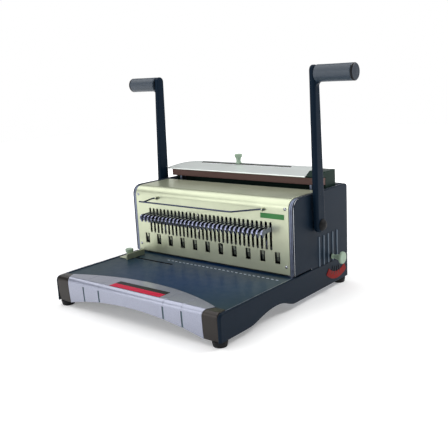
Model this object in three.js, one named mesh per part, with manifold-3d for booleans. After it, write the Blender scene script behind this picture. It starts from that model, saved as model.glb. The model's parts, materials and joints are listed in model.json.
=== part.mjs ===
// Wire binding machine with a punching lever on the right and a binding lever on the left.
// Millimetres, +X to the right of the user, +Y to the back, +Z up.
// The origin lies on the desk under the middle of the machine.
import * as THREE from 'three';
import { mergeVertices } from 'three/addons/utils/BufferGeometryUtils.js';
import Module from 'manifold-3d';

const wasm = await Module();
wasm.setup();

// Driving sizes of the whole machine
const bodyWidth = 338; // over both side covers
const tableDepth = 180; // front edge of the base to the face of the front panel
const tableHeight = 48; // the work table above the desk
const feetHeight = 9;
const holePitch = 8.467; // three holes to the inch

// Clearances and cutting
const gap = 0.3; // between pieces that lie next to each other
const runningGap = 0.6; // round a piece that turns or slides in a hole
const overrun = 2; // a cutter passes the faces it cuts by this much
const weld = 1e-4; // corners closer than this are one

// Stock thicknesses
const sheet = 1.5; // folded steel sheet
const framePlate = 3; // side frames
const mouldedWall = 2.5; // plastic mouldings

// Numbers of sides of round work
const smallSides = 10;
const roundSides = 16;
const bigSides = 24;
const pinSides = 8;
const arcSteps = 5;

// Places across the machine, as distances from its middle plane
const coverThickness = 5.4; // side covers, from the outer face to the side frame
const skirtThickness = 4;
const coverOuter = bodyWidth / 2;
const coverInner = coverOuter - coverThickness;
const frameOuter = coverInner - gap;
const frameInner = frameOuter - framePlate;
const deckHalf = frameInner - gap;
const panelHalf = deckHalf - gap;
const skirtInner = coverOuter - skirtThickness;
const tableHalf = skirtInner - gap;

// The row of holes, as many as fit
const rowMargin = 30; // least distance from the last hole to the end of the panel
const holesEachSide = Math.floor((panelHalf - rowMargin) / holePitch);
const holeCount = 2 * holesEachSide + 1;

// Heights of the punching unit, from the table up
const throat = 2.6; // slit for the paper, from the table up to the stripper
const stripperHeight = 7.4;
const punchBarLift = 16; // bar above the stripper at rest
const punchBarHeight = 14;
const stripperBottom = tableHeight + throat;
const stripperTop = stripperBottom + stripperHeight;
const barBottom = stripperTop + punchBarLift;
const barTop = barBottom + punchBarHeight;

// Heights of the shafts and of the housing
const shaftOverBar = 30.5; // punching shaft above the punching bar
const shaftStep = 6.5; // binding shaft below the punching shaft
const headroom = 48; // top sheet above the punching shaft
const punchPivotHeight = barTop + shaftOverBar;
const bindPivotHeight = punchPivotHeight - shaftStep;
const housingHeight = punchPivotHeight + headroom;
const tableUnder = tableHeight - sheet;
const housingUnder = housingHeight - sheet;
const panelLift = 3; // lower edge of the panel above the table
const panelBottom = tableHeight + panelLift;
const panelBend = 16; // outer radius of the bend from the panel to the top sheet

// Levers and their shafts
const shaftRadius = 6;
const bushWall = 2.5;
const bushRadius = shaftRadius + gap + bushWall;
const bushFlange = 1.6; // thickness and width of the collar
const punchPivotBehind = 61; // punching shaft behind the panel face
const leverGap = 2.5; // cover to lever
const leverThickness = 9;
const leverInnerFace = coverOuter + leverGap;
const leverFootRadius = 12;
const leverTopWidth = 16;
const leverLength = 226; // shaft to the middle of the grip
const leverBore = 0.3; // clearance round the shaft in the lever's eye
const gripRadius = 12.5;
const gripLength = 59;
const gripCapLength = 3;
const gripCoreRadius = 6;
const pivotCapRadius = 9;
const pivotCapLength = 3;
const punchLean = -2; // degrees, the punching lever rests a little forward
const bindLean = 2; // degrees, the binding lever rests a little back

// Gears and racks
const toothAngle = 20;
const addendumShare = 0.7;
const dedendumShare = 0.95;
const backlash = 0.3;
const punchModule = 1.5;
const punchTeeth = 12;
const hookModule = 1.75;
const hookTeeth = 16;
const pressModule = 1.25;
const pressTeeth = 12;
const marginModule = 0.75;
const marginTeeth = 12;
const punchPitchRadius = (punchModule * punchTeeth) / 2;
const hookPitchRadius = (hookModule * hookTeeth) / 2;
const pressPitchRadius = (pressModule * pressTeeth) / 2;
const marginPitchRadius = (marginModule * marginTeeth) / 2;
const windowClearance = 0.8; // round a shaft inside a slide plate
const rackWeb = 2.1; // metal between the shaft window and the tooth roots
const punchTurn = 75; // degrees of a full stroke of the punching lever
const bindTurn = 80; // degrees of a full stroke of the binding lever
const punchStroke = punchPitchRadius * THREE.MathUtils.degToRad(punchTurn);
const hookStroke = hookPitchRadius * THREE.MathUtils.degToRad(bindTurn);
const pressStroke = pressPitchRadius * THREE.MathUtils.degToRad(bindTurn);
const spareTeeth = 1; // rack teeth beyond those of the stroke
const teethFor = (stroke, toothModule) => Math.ceil(stroke / (Math.PI * toothModule)) + spareTeeth;

// Places in depth, measured back from the front edge of the base
const panelFace = tableDepth;
const panelBack = panelFace + sheet;
const punchPivotDepth = panelFace + punchPivotBehind;
const shaftWindowRear = punchPivotDepth + shaftRadius + windowClearance;
const bindPivotDepth = shaftWindowRear + rackWeb + hookModule * dedendumShare + hookPitchRadius;
const closerBehind = 11.4375; // face of the pressing bar behind the binding shaft
const closerLength = 43; // face of the pressing bar to the rear of the closer
const ledgeLength = 22; // rear of the closer to the rear of the machine
const closerFront = bindPivotDepth + closerBehind;
const closerRear = closerFront + closerLength;
const bodyDepth = closerRear + ledgeLength;
const rearLip = 0.5; // the rear cover stands this far inside the base
const rearInner = bodyDepth - rearLip - sheet;
const rearOuter = rearInner + sheet;

// Punching unit
const pinRadius = 2;
const pinsBehind = 15; // row of pins behind the panel face
const pinDepth = panelFace + pinsBehind;
const pinHole = pinRadius + gap;
const dieDepth = 20;
const dieHeight = 14;
const throatMargin = 7.7; // end of the throat to the end of the panel
const throatHalf = panelHalf - throatMargin;
const punchBarDepth = 20;
const punchBarStep = 2; // front of the punching bar behind the front of the die
const pinRest = 0.8; // tips above the throat at rest
const rodRadius = 2.5;
const rodMargin = 4.7; // guide rods to the end of the panel, beyond the paper
const rodPlace = panelHalf - rodMargin;
const rackMargin = 49.7; // racks of the punching bar to the end of the panel
const rackPlace = panelHalf - rackMargin;
const rackThickness = 8;
const rackDepth = 9;

// Slots in the panel, hooks and their carriage
const slotWidth = 4.4;
const slotHeight = 44;
const slotOverShaft = 11.5; // top of the slots above the punching shaft
const slotTop = punchPivotHeight + slotOverShaft;
const slotBottom = slotTop - slotHeight;
const hookThickness = 3.2;
const hookClear = 7.5; // hooks below the top of the slots at rest
const hookTop = slotTop - hookClear;
const hookHeight = 7;
const hookReach = 25; // nose in front of the panel
const hookDrop = 13; // tip below the top of the hook
const hookBarDepth = 6;
const hookBarBehind = 5; // front of the bar behind the panel face
const hookPlateMargin = 13.7; // hook plates to the end of the panel
const hookPlatePlace = panelHalf - hookPlateMargin;
const hookPlateThickness = 4;

// Wire closer on the rear of the housing
const closerHalf = panelHalf + gap;
const pressBarDepth = 11;
const pressBarLift = 5; // pressing bar above the top sheet at rest
const pressBarBottom = housingHeight + pressBarLift;
const pressBarHeight = 11.5;
const bedLead = 12.5; // front wall of the bed in front of the pressing bar
const bedFront = closerFront - bedLead;
const bedRear = closerRear + sheet;
const bedSink = 10; // floor of the bed below the top sheet
const pressPlateMargin = 20.7; // press plates to the end of the panel
const pressPlatePlace = panelHalf - pressPlateMargin;
const pressPlateThickness = 4;

// Margin control
const marginAhead = 54; // shaft in front of the rear of the machine
const marginLift = 8; // shaft above the table
const marginDepth = bodyDepth - marginAhead;
const marginHeight = tableHeight + marginLift;
const marginShaftRadius = 3;
const marginRackMargin = 34.7; // its racks to the end of the panel
const marginRackPlace = panelHalf - marginRackMargin;

const degrees = THREE.MathUtils.degToRad;

// Finishes
const finish = (color, roughness, metalness) =>
  new THREE.MeshStandardMaterial({ color, roughness, metalness });
const slatePaint = finish(0x2b4256, 0.45, 0.2);
const darkPlastic = finish(0x29323f, 0.5, 0);
const bronzePaint = finish(0x5b534f, 0.4, 0.4);
const silverPlastic = finish(0xb7bac8, 0.35, 0.3);
const creamPaint = finish(0xc3c9b2, 0.45, 0.1);
const greySteel = finish(0x7d8791, 0.4, 0.8);
const blackSteel = finish(0x1c1f30, 0.3, 0.7);
const brightSteel = finish(0xa9adb2, 0.3, 0.9);
const toolSteel = finish(0x6c6f73, 0.35, 0.9);
const brushedAlloy = finish(0xc2c6c8, 0.35, 0.8);
const brownPaint = finish(0x66483f, 0.5, 0.2);
const greenBlack = finish(0x22332c, 0.5, 0.2);
const paleKnob = finish(0xc9d3c3, 0.4, 0.1);
const brass = finish(0xb08d4a, 0.35, 0.9);
const rubber = finish(0x15171a, 0.8, 0);
const redVinyl = finish(0xc22a3c, 0.5, 0);
const blackVinyl = finish(0x1b1b1e, 0.5, 0);
const greenVinyl = finish(0x2f8f3e, 0.5, 0);

// A closed mesh as a solid, and a solid as a mesh
const asSolid = (geometry) => {
  const bare = geometry.clone();
  bare.deleteAttribute('normal');
  bare.deleteAttribute('uv');
  const merged = mergeVertices(bare, weld);
  return new wasm.Manifold(
    new wasm.Mesh({
      numProp: 3,
      vertProperties: new Float32Array(merged.attributes.position.array),
      triVerts: new Uint32Array(merged.index.array),
    }),
  );
};

const asGeometry = (solid) => {
  const mesh = solid.getMesh();
  const geometry = new THREE.BufferGeometry();
  const places = new Float32Array((mesh.vertProperties.length / mesh.numProp) * 3);
  for (let i = 0; i < places.length / 3; i += 1) {
    for (let k = 0; k < 3; k += 1) {
      places[3 * i + k] = mesh.vertProperties[mesh.numProp * i + k];
    }
  }
  geometry.setAttribute('position', new THREE.BufferAttribute(places, 3));
  geometry.setIndex(new THREE.BufferAttribute(new Uint32Array(mesh.triVerts), 1));
  geometry.computeVertexNormals();
  return geometry;
};

const join = (...geometries) => {
  const solids = geometries.map(asSolid);
  return asGeometry(solids.reduce((whole, next) => whole.add(next)));
};

const cut = (geometry, ...cutters) => {
  const solids = cutters.map(asSolid);
  return asGeometry(solids.reduce((whole, next) => whole.subtract(next), asSolid(geometry)));
};

const common = (first, second) => asGeometry(asSolid(first).intersect(asSolid(second)));

// A block between two corners
const block = (x0, x1, y0, y1, z0, z1) => {
  const geometry = new THREE.BoxGeometry(x1 - x0, y1 - y0, z1 - z0);
  return geometry.translate((x0 + x1) / 2, (y0 + y1) / 2, (z0 + z1) / 2);
};

// An outline is a list of points or a ready shape
const shapeOf = (outline) =>
  Array.isArray(outline) ? new THREE.Shape(outline.map(([u, v]) => new THREE.Vector2(u, v))) : outline;

const extruded = (outline, depth, sides) =>
  new THREE.ExtrudeGeometry(shapeOf(outline), {
    depth,
    bevelEnabled: false,
    curveSegments: sides,
  });

// A profile in depth and height, drawn out across the machine
const acrossX = (outline, x0, x1, sides = arcSteps) => {
  const turn = new THREE.Matrix4().set(0, 0, 1, x0, 1, 0, 0, 0, 0, 1, 0, 0, 0, 0, 0, 1);
  return extruded(outline, x1 - x0, sides).applyMatrix4(turn);
};

// A profile in width and height, drawn out in depth
const alongY = (outline, y0, y1, sides = arcSteps) => {
  const turn = new THREE.Matrix4().set(1, 0, 0, 0, 0, 0, -1, y1, 0, 1, 0, 0, 0, 0, 0, 1);
  return extruded(outline, y1 - y0, sides).applyMatrix4(turn);
};

// A plan outline, raised from one height to another
const upZ = (outline, z0, z1, sides = arcSteps) =>
  extruded(outline, z1 - z0, sides).translate(0, 0, z0);

// Round bars along the three directions
const barX = (radius, x0, x1, y, z, sides = roundSides) =>
  new THREE.CylinderGeometry(radius, radius, x1 - x0, sides)
    .rotateZ(-Math.PI / 2)
    .translate((x0 + x1) / 2, y, z);

const barY = (radius, y0, y1, x, z, sides = roundSides) =>
  new THREE.CylinderGeometry(radius, radius, y1 - y0, sides).translate(x, (y0 + y1) / 2, z);

const barZ = (radius, z0, z1, x, y, sides = roundSides) =>
  new THREE.CylinderGeometry(radius, radius, z1 - z0, sides)
    .rotateX(Math.PI / 2)
    .translate(x, y, (z0 + z1) / 2);

// The same piece on the other side of the middle plane
const mirrored = (geometry) => {
  const copy = geometry.clone().applyMatrix4(new THREE.Matrix4().makeScale(-1, 1, 1));
  const index = copy.index ? Array.from(copy.index.array) : [...copy.attributes.position.array.keys()];
  const corners = copy.index ? index : index.slice(0, copy.attributes.position.count);
  for (let i = 0; i < corners.length; i += 3) {
    [corners[i + 1], corners[i + 2]] = [corners[i + 2], corners[i + 1]];
  }
  copy.setIndex(corners);
  copy.computeVertexNormals();
  return copy;
};

const sided = (geometry, side) => (side > 0 ? geometry : mirrored(geometry));

// Spur gear outline about its own centre, with one tooth pointing along the angle "facing"
const gearOutline = (teeth, toothModule, facing) => {
  const pitch = (teeth * toothModule) / 2;
  const pressure = degrees(toothAngle);
  const base = pitch * Math.cos(pressure);
  const tip = pitch + toothModule * addendumShare;
  const root = pitch - toothModule * dedendumShare;
  const involute = (angle) => Math.tan(angle) - angle;
  const halfAtPitch = ((Math.PI * toothModule) / 2 - backlash) / (2 * pitch);
  const halfAt = (radius) => {
    const angle = radius > base ? Math.acos(base / radius) : 0;
    return halfAtPitch + involute(pressure) - involute(angle);
  };
  const points = [];
  for (let tooth = 0; tooth < teeth; tooth += 1) {
    const middle = facing + (tooth * 2 * Math.PI) / teeth;
    const add = (radius, angle) =>
      points.push([radius * Math.cos(middle + angle), radius * Math.sin(middle + angle)]);
    add(root, -halfAt(root));
    add(pitch, -halfAt(pitch));
    add(tip, -halfAt(tip));
    add(tip, halfAt(tip));
    add(pitch, halfAt(pitch));
    add(root, halfAt(root));
  }
  return points;
};

// Teeth of a rack as points along it: [along, out], with a tooth space at along = 0.
// "out" is measured from the pitch line towards the gear.
const rackTeeth = (toothModule, before, after) => {
  const step = Math.PI * toothModule;
  const addendum = toothModule * addendumShare;
  const dedendum = toothModule * dedendumShare;
  const slope = Math.tan(degrees(toothAngle));
  const half = step / 4 - backlash / 2;
  const points = [];
  for (let tooth = -before; tooth < after; tooth += 1) {
    const middle = (tooth + 1 / 2) * step;
    points.push([middle - half - dedendum * slope, -dedendum]);
    points.push([middle - half + addendum * slope, addendum]);
    points.push([middle + half - addendum * slope, addendum]);
    points.push([middle + half + dedendum * slope, -dedendum]);
  }
  return points;
};

const model = new THREE.Group();
const machine = new THREE.Group();
machine.position.y = -bodyDepth / 2;
model.add(machine);

const groupAt = (y, z, parent = machine, x = 0) => {
  const group = new THREE.Group();
  group.position.set(x, y, z);
  parent.add(group);
  return group;
};

const add = (name, geometry, material, parent = machine) => {
  const mesh = new THREE.Mesh(geometry, material);
  mesh.name = name;
  parent.add(mesh);
  return mesh;
};

// Base: table, front trim, corner caps, skirts, bottom plate and feet

const capWidth = 26.7; // corner caps at the front face
const trimHalf = tableHalf - capWidth; // front trim at the front face, from the middle
const trimFlare = 9; // its rear corners stand this much wider
const trimTip = 19; // rear corners behind the front edge
const trimCrest = 50; // middle of the curved rear edge behind the front edge
const trimArch = 17; // rise of the arch under the front face
const trimRound = 9; // radius of the front top edge
const trimProud = 2.3; // top of the trim above the table
const trimTop = tableHeight + trimProud;
const grooveWidth = 3;
const grooveCut = 1;
const grooveInner = 67;
const grooveOuter = 102;
const stripLeft = -49;
const stripRight = 54;
const stripFront = 8;
const stripSplit = 20.5; // line between the red and the black strip
const stripRear = 31;
const stripThickness = 0.7;
const stripSink = 0.4;

const trimProfile = (rear, under) => {
  const profile = new THREE.Shape();
  profile.moveTo(0, feetHeight);
  profile.lineTo(mouldedWall, feetHeight);
  profile.lineTo(mouldedWall, trimTop - trimRound);
  profile.absarc(trimRound, trimTop - trimRound, trimRound - mouldedWall, Math.PI, Math.PI / 2, true);
  profile.lineTo(trimRound, under);
  profile.lineTo(rear, under);
  profile.lineTo(rear, trimTop);
  profile.lineTo(trimRound, trimTop);
  profile.absarc(trimRound, trimTop - trimRound, trimRound, Math.PI / 2, Math.PI, false);
  return profile;
};

const trimPlan = () => {
  const wide = trimHalf + trimFlare;
  const sag = trimCrest - trimTip;
  const radius = (wide * wide + sag * sag) / (2 * sag);
  const spread = Math.asin(wide / radius);
  const plan = new THREE.Shape();
  plan.moveTo(-trimHalf, 0);
  plan.lineTo(-trimHalf, -overrun);
  plan.lineTo(trimHalf, -overrun);
  plan.lineTo(trimHalf, 0);
  plan.lineTo(wide, trimTip);
  const rise = Math.PI / 2;
  plan.absarc(0, trimCrest - radius, radius, rise - spread, rise + spread, false);
  return plan;
};

const frontTrim = () => {
  const shell = acrossX(trimProfile(trimCrest + overrun, tableHeight + gap), -coverOuter, coverOuter);
  const plan = upZ(trimPlan(), 0, trimTop + overrun, bigSides);
  const archRadius = (trimHalf * trimHalf + trimArch * trimArch) / (2 * trimArch);
  const arch = barY(
    archRadius,
    -overrun,
    trimRound,
    0,
    feetHeight + trimArch - archRadius,
    bigSides * bigSides,
  );
  const archWindow = common(arch, block(-trimHalf, trimHalf, -overrun, trimRound, 0, trimTop));
  const grooves = [-grooveOuter, -grooveInner, grooveInner, grooveOuter].map((x) =>
    block(
      x - grooveWidth / 2,
      x + grooveWidth / 2,
      -overrun,
      grooveCut,
      0,
      trimTop - trimRound,
    ),
  );
  const recess = block(
    stripLeft - gap,
    stripRight + gap,
    stripFront - gap,
    stripRear + gap,
    trimTop - stripSink,
    trimTop + overrun,
  );
  return cut(common(shell, plan), archWindow, recess, ...grooves);
};

const strip = (from, to) => {
  const bottom = trimTop - stripSink;
  return block(stripLeft, stripRight, from, to, bottom, bottom + stripThickness);
};

const capDepth = 24;
const footRadius = 11;
const footSide = 11; // centre of a foot in from the outer face of the skirt
const footFront = 12; // centre of a foot behind the front edge

const cornerCap = () => {
  const shell = acrossX(trimProfile(capDepth, tableHeight + gap), trimHalf, tableHalf);
  const floor = block(
    trimHalf,
    tableHalf,
    mouldedWall / 2,
    capDepth,
    feetHeight,
    feetHeight + mouldedWall,
  );
  const edge = (y) => trimHalf + gap + (trimFlare * Math.max(y, 0)) / trimTip;
  const plan = [
    [trimHalf + gap, -overrun],
    [tableHalf, -overrun],
    [tableHalf, trimTip],
    [edge(trimTip), trimTip],
    [edge(0), 0],
  ];
  const body = common(join(shell, floor), upZ(plan, 0, trimTop + overrun));
  const lift = trimProud - gap;
  return cut(body, block(0, coverOuter, -overrun, bodyDepth, trimTop - lift + sheet, trimTop + overrun));
};

const flangeDepth = 16;
const tableFront = trimRound + gap;
const guideAhead = 36; // slot for the paper guide in front of the panel
const guideSlotDepth = panelFace - guideAhead;
const guideSlotWidth = 5;
const guideSlotLength = 111;
const guideMargin = 25.2; // face that the paper touches to the end of the panel
const guideFlangeWidth = 24.5;
const guideKnobStep = 10; // knob to the outer edge of the flange
const guideSlotStep = 9; // knob to the end of its slot
const guideFace = guideMargin - panelHalf;
const guideFlangeLeft = guideFace - guideFlangeWidth;
const guideKnobPlace = guideFlangeLeft + guideKnobStep;
const guideSlotLeft = guideKnobPlace - guideSlotStep;
const guideSlotRight = guideSlotLeft + guideSlotLength;
const dieWindow = dieDepth / 2 + gap;
const tableRear = rearInner - gap;

const table = () => {
  const plan = [
    [-tableHalf, tableFront],
    [tableHalf, tableFront],
    [tableHalf, panelFace - gap],
    [deckHalf, panelFace - gap],
    [deckHalf, tableRear],
    [-deckHalf, tableRear],
    [-deckHalf, panelFace - gap],
    [-tableHalf, panelFace - gap],
  ];
  const top = upZ(plan, tableUnder, tableHeight);
  const flangeBottom = tableHeight - flangeDepth;
  const flanges = [
    block(-tableHalf, tableHalf, tableFront, tableFront + sheet, flangeBottom, tableHeight),
    block(tableHalf - sheet, tableHalf, tableFront, panelFace - gap, flangeBottom, tableHeight),
    block(-tableHalf, sheet - tableHalf, tableFront, panelFace - gap, flangeBottom, tableHeight),
  ];
  const dieHole = block(
    -deckHalf + sheet,
    deckHalf - sheet,
    pinDepth - dieWindow,
    pinDepth + dieWindow,
    0,
    housingHeight,
  );
  const half = guideSlotWidth / 2;
  const guideSlot = join(
    block(
      guideSlotLeft + half,
      guideSlotRight - half,
      guideSlotDepth - half,
      guideSlotDepth + half,
      0,
      housingHeight,
    ),
    barZ(half, 0, housingHeight, guideSlotLeft + half, guideSlotDepth),
    barZ(half, 0, housingHeight, guideSlotRight - half, guideSlotDepth),
  );
  return cut(join(top, ...flanges), dieHole, guideSlot);
};

const archStart = 60; // arch under a skirt, behind the front edge
const archAhead = 48; // its crest in front of the panel
const archTail = 1; // its rear end behind the panel face
const archCrest = panelFace - archAhead;
const archEnd = panelFace + archTail;
const archRise = 11.5;
const skirtLip = 1; // skirt above the table, beside it
const skirtRound = 8;

const skirt = () => {
  const bottom = feetHeight;
  const crest = bottom + archRise;
  const rise = archCrest - archStart;
  const fall = archEnd - archCrest;
  const top = tableHeight + skirtLip;
  const side = new THREE.Shape();
  side.moveTo(0, bottom);
  side.lineTo(archStart, bottom);
  side.bezierCurveTo(archStart + rise / 3, bottom, archCrest - rise / 2, crest, archCrest, crest);
  side.bezierCurveTo(archCrest + fall / 2, crest, archEnd - fall / 3, bottom, archEnd, bottom);
  side.lineTo(bodyDepth, bottom);
  side.lineTo(bodyDepth, tableHeight);
  side.lineTo(panelFace, tableHeight);
  side.lineTo(panelFace, top);
  side.lineTo(skirtRound, top);
  side.absarc(skirtRound, top - skirtRound, skirtRound, Math.PI / 2, Math.PI, false);
  return acrossX(side, skirtInner, coverOuter, 2 * arcSteps);
};

const bottomStep = 4; // front edge of the bottom plate behind the panel face
const bottomFront = panelFace + bottomStep;
const bottomTop = feetHeight + sheet;

const bottomPlate = () =>
  block(-tableHalf, tableHalf, bottomFront, rearInner, feetHeight, bottomTop);

const foot = (x, y) => {
  const profile = [
    [0, 0],
    [footRadius - sheet, 0],
    [footRadius, sheet],
    [footRadius, feetHeight],
    [0, feetHeight],
  ].map(([u, v]) => new THREE.Vector2(u, v));
  return new THREE.LatheGeometry(profile, roundSides).rotateX(Math.PI / 2).translate(x, y, 0);
};

add('table', table(), slatePaint);
add('front_trim', frontTrim(), silverPlastic);
add('red_strip', strip(stripFront, stripSplit), redVinyl);
add('black_strip', strip(stripSplit, stripRear), blackVinyl);
add('bottom_plate', bottomPlate(), greySteel);
for (const [side, word] of [
  [1, 'right'],
  [-1, 'left'],
]) {
  add(`corner_cap_${word}`, sided(cornerCap(), side), bronzePaint);
  add(`side_skirt_${word}`, sided(skirt(), side), darkPlastic);
  const footX = side * (coverOuter - footSide);
  add(`foot_front_${word}`, foot(footX, footFront), rubber);
  add(`foot_rear_${word}`, foot(footX, bodyDepth - footFront), rubber);
}

// Housing: side frames, side covers, front panel, rear cover

const frameFront = panelFace + gap;
const frameRear = rearInner - gap;
const frameBottom = bottomTop;
const frameDrop = 1; // top edge of the side frames below the top sheet
const frameTop = housingHeight - frameDrop;
const marginHole = marginShaftRadius + runningGap;

const roundedSide = (front, rear, bottom, top, frontRadius, rearRadius) => {
  const side = new THREE.Shape();
  side.moveTo(front, bottom);
  side.lineTo(rear, bottom);
  side.lineTo(rear, top - rearRadius);
  side.absarc(rear - rearRadius, top - rearRadius, rearRadius, 0, Math.PI / 2, false);
  side.lineTo(front + frontRadius, top);
  side.absarc(front + frontRadius, top - frontRadius, frontRadius, Math.PI / 2, Math.PI, false);
  return side;
};

const coverRearRadius = 6;
const through = (radius, depth, height) =>
  barX(radius, -bodyWidth, bodyWidth, depth, height, roundSides);

const sideFrame = () => {
  const outline = roundedSide(
    frameFront,
    frameRear,
    frameBottom,
    frameTop,
    panelBend,
    coverRearRadius,
  );
  return cut(
    acrossX(outline, frameInner, frameOuter),
    through(bushRadius + gap, punchPivotDepth, punchPivotHeight),
    through(bushRadius + gap, bindPivotDepth, bindPivotHeight),
    through(marginHole, marginDepth, marginHeight),
  );
};

const coverStep = 1; // front edge of the side covers behind the panel face
const coverFront = panelFace + coverStep;
const coverBottom = tableHeight + gap;
const coverNotch = 2; // dark line under the front of a side cover
const coverNotchLength = 48;
const coverNotchRear = panelFace + coverNotchLength;
const coverProud = 0.5; // side covers above the top sheet
const coverTop = housingHeight + coverProud;
const coverFrontRadius = panelBend + coverStep;
const ribCount = 5;
const ribWidth = 3;
const ribProud = 1.2;
const ribPitch = 13.8;
const ribAhead = 92; // first rib in front of the rear of the machine
const ribFirst = bodyDepth - ribAhead;
const ribHeight = 48;
const ribTop = tableHeight + ribHeight;
const shaftClear = 0.9; // round a shaft in its side cover
const shaftHole = shaftRadius + shaftClear;

const sideCover = () => {
  const outer = roundedSide(
    coverFront,
    bodyDepth,
    coverBottom,
    coverTop,
    coverFrontRadius,
    coverRearRadius,
  );
  const hollow = roundedSide(
    coverFront + mouldedWall,
    bodyDepth - mouldedWall,
    coverBottom + mouldedWall,
    coverTop - mouldedWall,
    coverFrontRadius - mouldedWall,
    coverRearRadius - mouldedWall,
  );
  const ribs = [];
  for (let i = 0; i < ribCount; i += 1) {
    const depth = ribFirst + i * ribPitch;
    ribs.push(
      block(
        coverOuter - mouldedWall / 2,
        coverOuter + ribProud,
        depth - ribWidth / 2,
        depth + ribWidth / 2,
        coverBottom,
        ribTop,
      ),
    );
  }
  const notch = block(0, bodyWidth, 0, coverNotchRear, 0, coverBottom + coverNotch);
  return cut(
    join(acrossX(outer, coverInner, coverOuter), ...ribs),
    notch,
    acrossX(hollow, coverInner - overrun, coverOuter - mouldedWall),
    through(shaftHole, punchPivotDepth, punchPivotHeight),
    through(shaftHole, bindPivotDepth, bindPivotHeight),
    through(marginHole, marginDepth, marginHeight),
  );
};

const tabPitch = 27.6;
const tabMargin = 15; // least distance from the last tab to the end of the panel
const tabCount = 2 * Math.floor((panelHalf - tabMargin) / tabPitch) + 1;
const tabWidth = 9.5;
const tabStep = 2; // tabs below the slots
const tabTop = slotBottom - tabStep;
const tabHeight = 17.5;
const tabCut = 2.9; // width of the cut round each tongue
const tongueLean = 2.5; // lower end of a tongue behind the sheet's face
const bailMarginLeft = 52.2; // ears of the wire bail to the ends of the panel
const bailMarginRight = 44.7;
const bailBelow = 18; // ears below the top sheet
const bailLeft = bailMarginLeft - panelHalf;
const bailRight = panelHalf - bailMarginRight;
const bailHeight = housingHeight - bailBelow;
const earThickness = 1.8;
const earReach = 5.6;
const earHalf = 2.8;
const bailRadius = 1.3;
const bailBore = bailRadius + gap;
const earCentre = panelFace - earReach + earHalf;

const frontPanel = () => {
  const inside = panelBend - sheet;
  const profile = new THREE.Shape();
  profile.moveTo(panelFace, panelBottom);
  profile.lineTo(panelBack, panelBottom);
  profile.lineTo(panelBack, housingUnder - inside);
  const centreY = panelFace + panelBend;
  const centreZ = housingHeight - panelBend;
  profile.absarc(centreY, centreZ, inside, Math.PI, Math.PI / 2, true);
  profile.lineTo(bedFront - gap, housingUnder);
  profile.lineTo(bedFront - gap, housingHeight);
  profile.lineTo(centreY, housingHeight);
  profile.absarc(centreY, centreZ, panelBend, Math.PI / 2, Math.PI, false);
  const body = acrossX(profile, -panelHalf, panelHalf);
  const ears = [bailLeft, bailRight].map((x) => {
    const ear = new THREE.Shape();
    ear.moveTo(panelFace + sheet / 2, bailHeight - earHalf);
    ear.lineTo(panelFace + sheet / 2, bailHeight + earHalf);
    ear.lineTo(earCentre, bailHeight + earHalf);
    ear.absarc(earCentre, bailHeight, earHalf, Math.PI / 2, (3 * Math.PI) / 2, false);
    return acrossX(ear, x - earThickness / 2, x + earThickness / 2);
  });
  const cutters = [through(bailBore, earCentre, bailHeight)];
  const tongues = [];
  const near = panelFace - overrun;
  const far = panelBack + overrun;
  for (let i = 0; i < holeCount; i += 1) {
    const x = (i - (holeCount - 1) / 2) * holePitch;
    const half = slotWidth / 2;
    const slot = new THREE.Shape();
    slot.moveTo(x - half, slotBottom + half);
    slot.absarc(x, slotBottom + half, half, Math.PI, 2 * Math.PI, false);
    slot.absarc(x, slotTop - half, half, 0, Math.PI, false);
    cutters.push(alongY(slot, near, far, arcSteps - 1));
  }
  for (let i = 0; i < tabCount; i += 1) {
    const x = (i - (tabCount - 1) / 2) * tabPitch;
    const half = tabWidth / 2;
    const low = tabTop - tabHeight;
    cutters.push(block(x - half, x + half, near, far, low, tabTop));
    const tongue = [
      [panelFace, tabTop + sheet],
      [panelFace + tongueLean, low + tabCut],
      [panelBack + tongueLean, low + tabCut],
      [panelBack, tabTop + sheet],
    ];
    tongues.push(acrossX(tongue, x - half + tabCut, x + half - tabCut));
  }
  return join(cut(join(body, ...ears), ...cutters), ...tongues);
};

const plateMargin = 7.7; // name plate to the end of the panel
const plateWidth = 42.5;
const plateHeight = 7.8;
const plateBelow = 5.2; // name plate below the ears of the bail
const plateRight = panelHalf - plateMargin;
const plateLeft = plateRight - plateWidth;
const plateTop = bailHeight - plateBelow;
const plateBottom = plateTop - plateHeight;
const plateThickness = 0.8;
const drawerMargin = 41.7; // side of the drawer to the end of the panel
const drawerHalf = panelHalf - drawerMargin;
const drawerClear = 2.2; // rim of the drawer below the die
const drawerTop = tableHeight - dieHeight - drawerClear;
const rearFlange = 18;

const rearCover = () => {
  const wall = block(-panelHalf, panelHalf, rearInner, rearOuter, bottomTop + gap, housingHeight);
  const opening = block(
    -drawerHalf - gap,
    drawerHalf + gap,
    rearInner - overrun,
    rearOuter + overrun,
    0,
    drawerTop + gap,
  );
  const flange = block(
    -panelHalf,
    panelHalf,
    rearOuter - rearFlange,
    rearOuter,
    housingUnder,
    housingHeight,
  );
  return cut(join(wall, flange), opening);
};

for (const [side, word] of [
  [1, 'right'],
  [-1, 'left'],
]) {
  add(`side_frame_${word}`, sided(sideFrame(), side), greySteel);
  add(`side_cover_${word}`, sided(sideCover(), side), darkPlastic);
}
add('front_panel', frontPanel(), creamPaint);
add(
  'name_plate',
  block(plateLeft, plateRight, panelFace - plateThickness, panelFace, plateBottom, plateTop),
  greenVinyl,
);
add('rear_cover', rearCover(), darkPlastic);

// Bushes: one in each side frame for each lever shaft

const bush = (depth, height) => {
  const inside = frameInner - bushFlange;
  const sleeve = join(
    barX(bushRadius, inside, frameOuter, depth, height),
    barX(bushRadius + bushFlange, inside, frameInner - gap, depth, height),
  );
  return cut(sleeve, through(shaftRadius + gap, depth, height));
};

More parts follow.
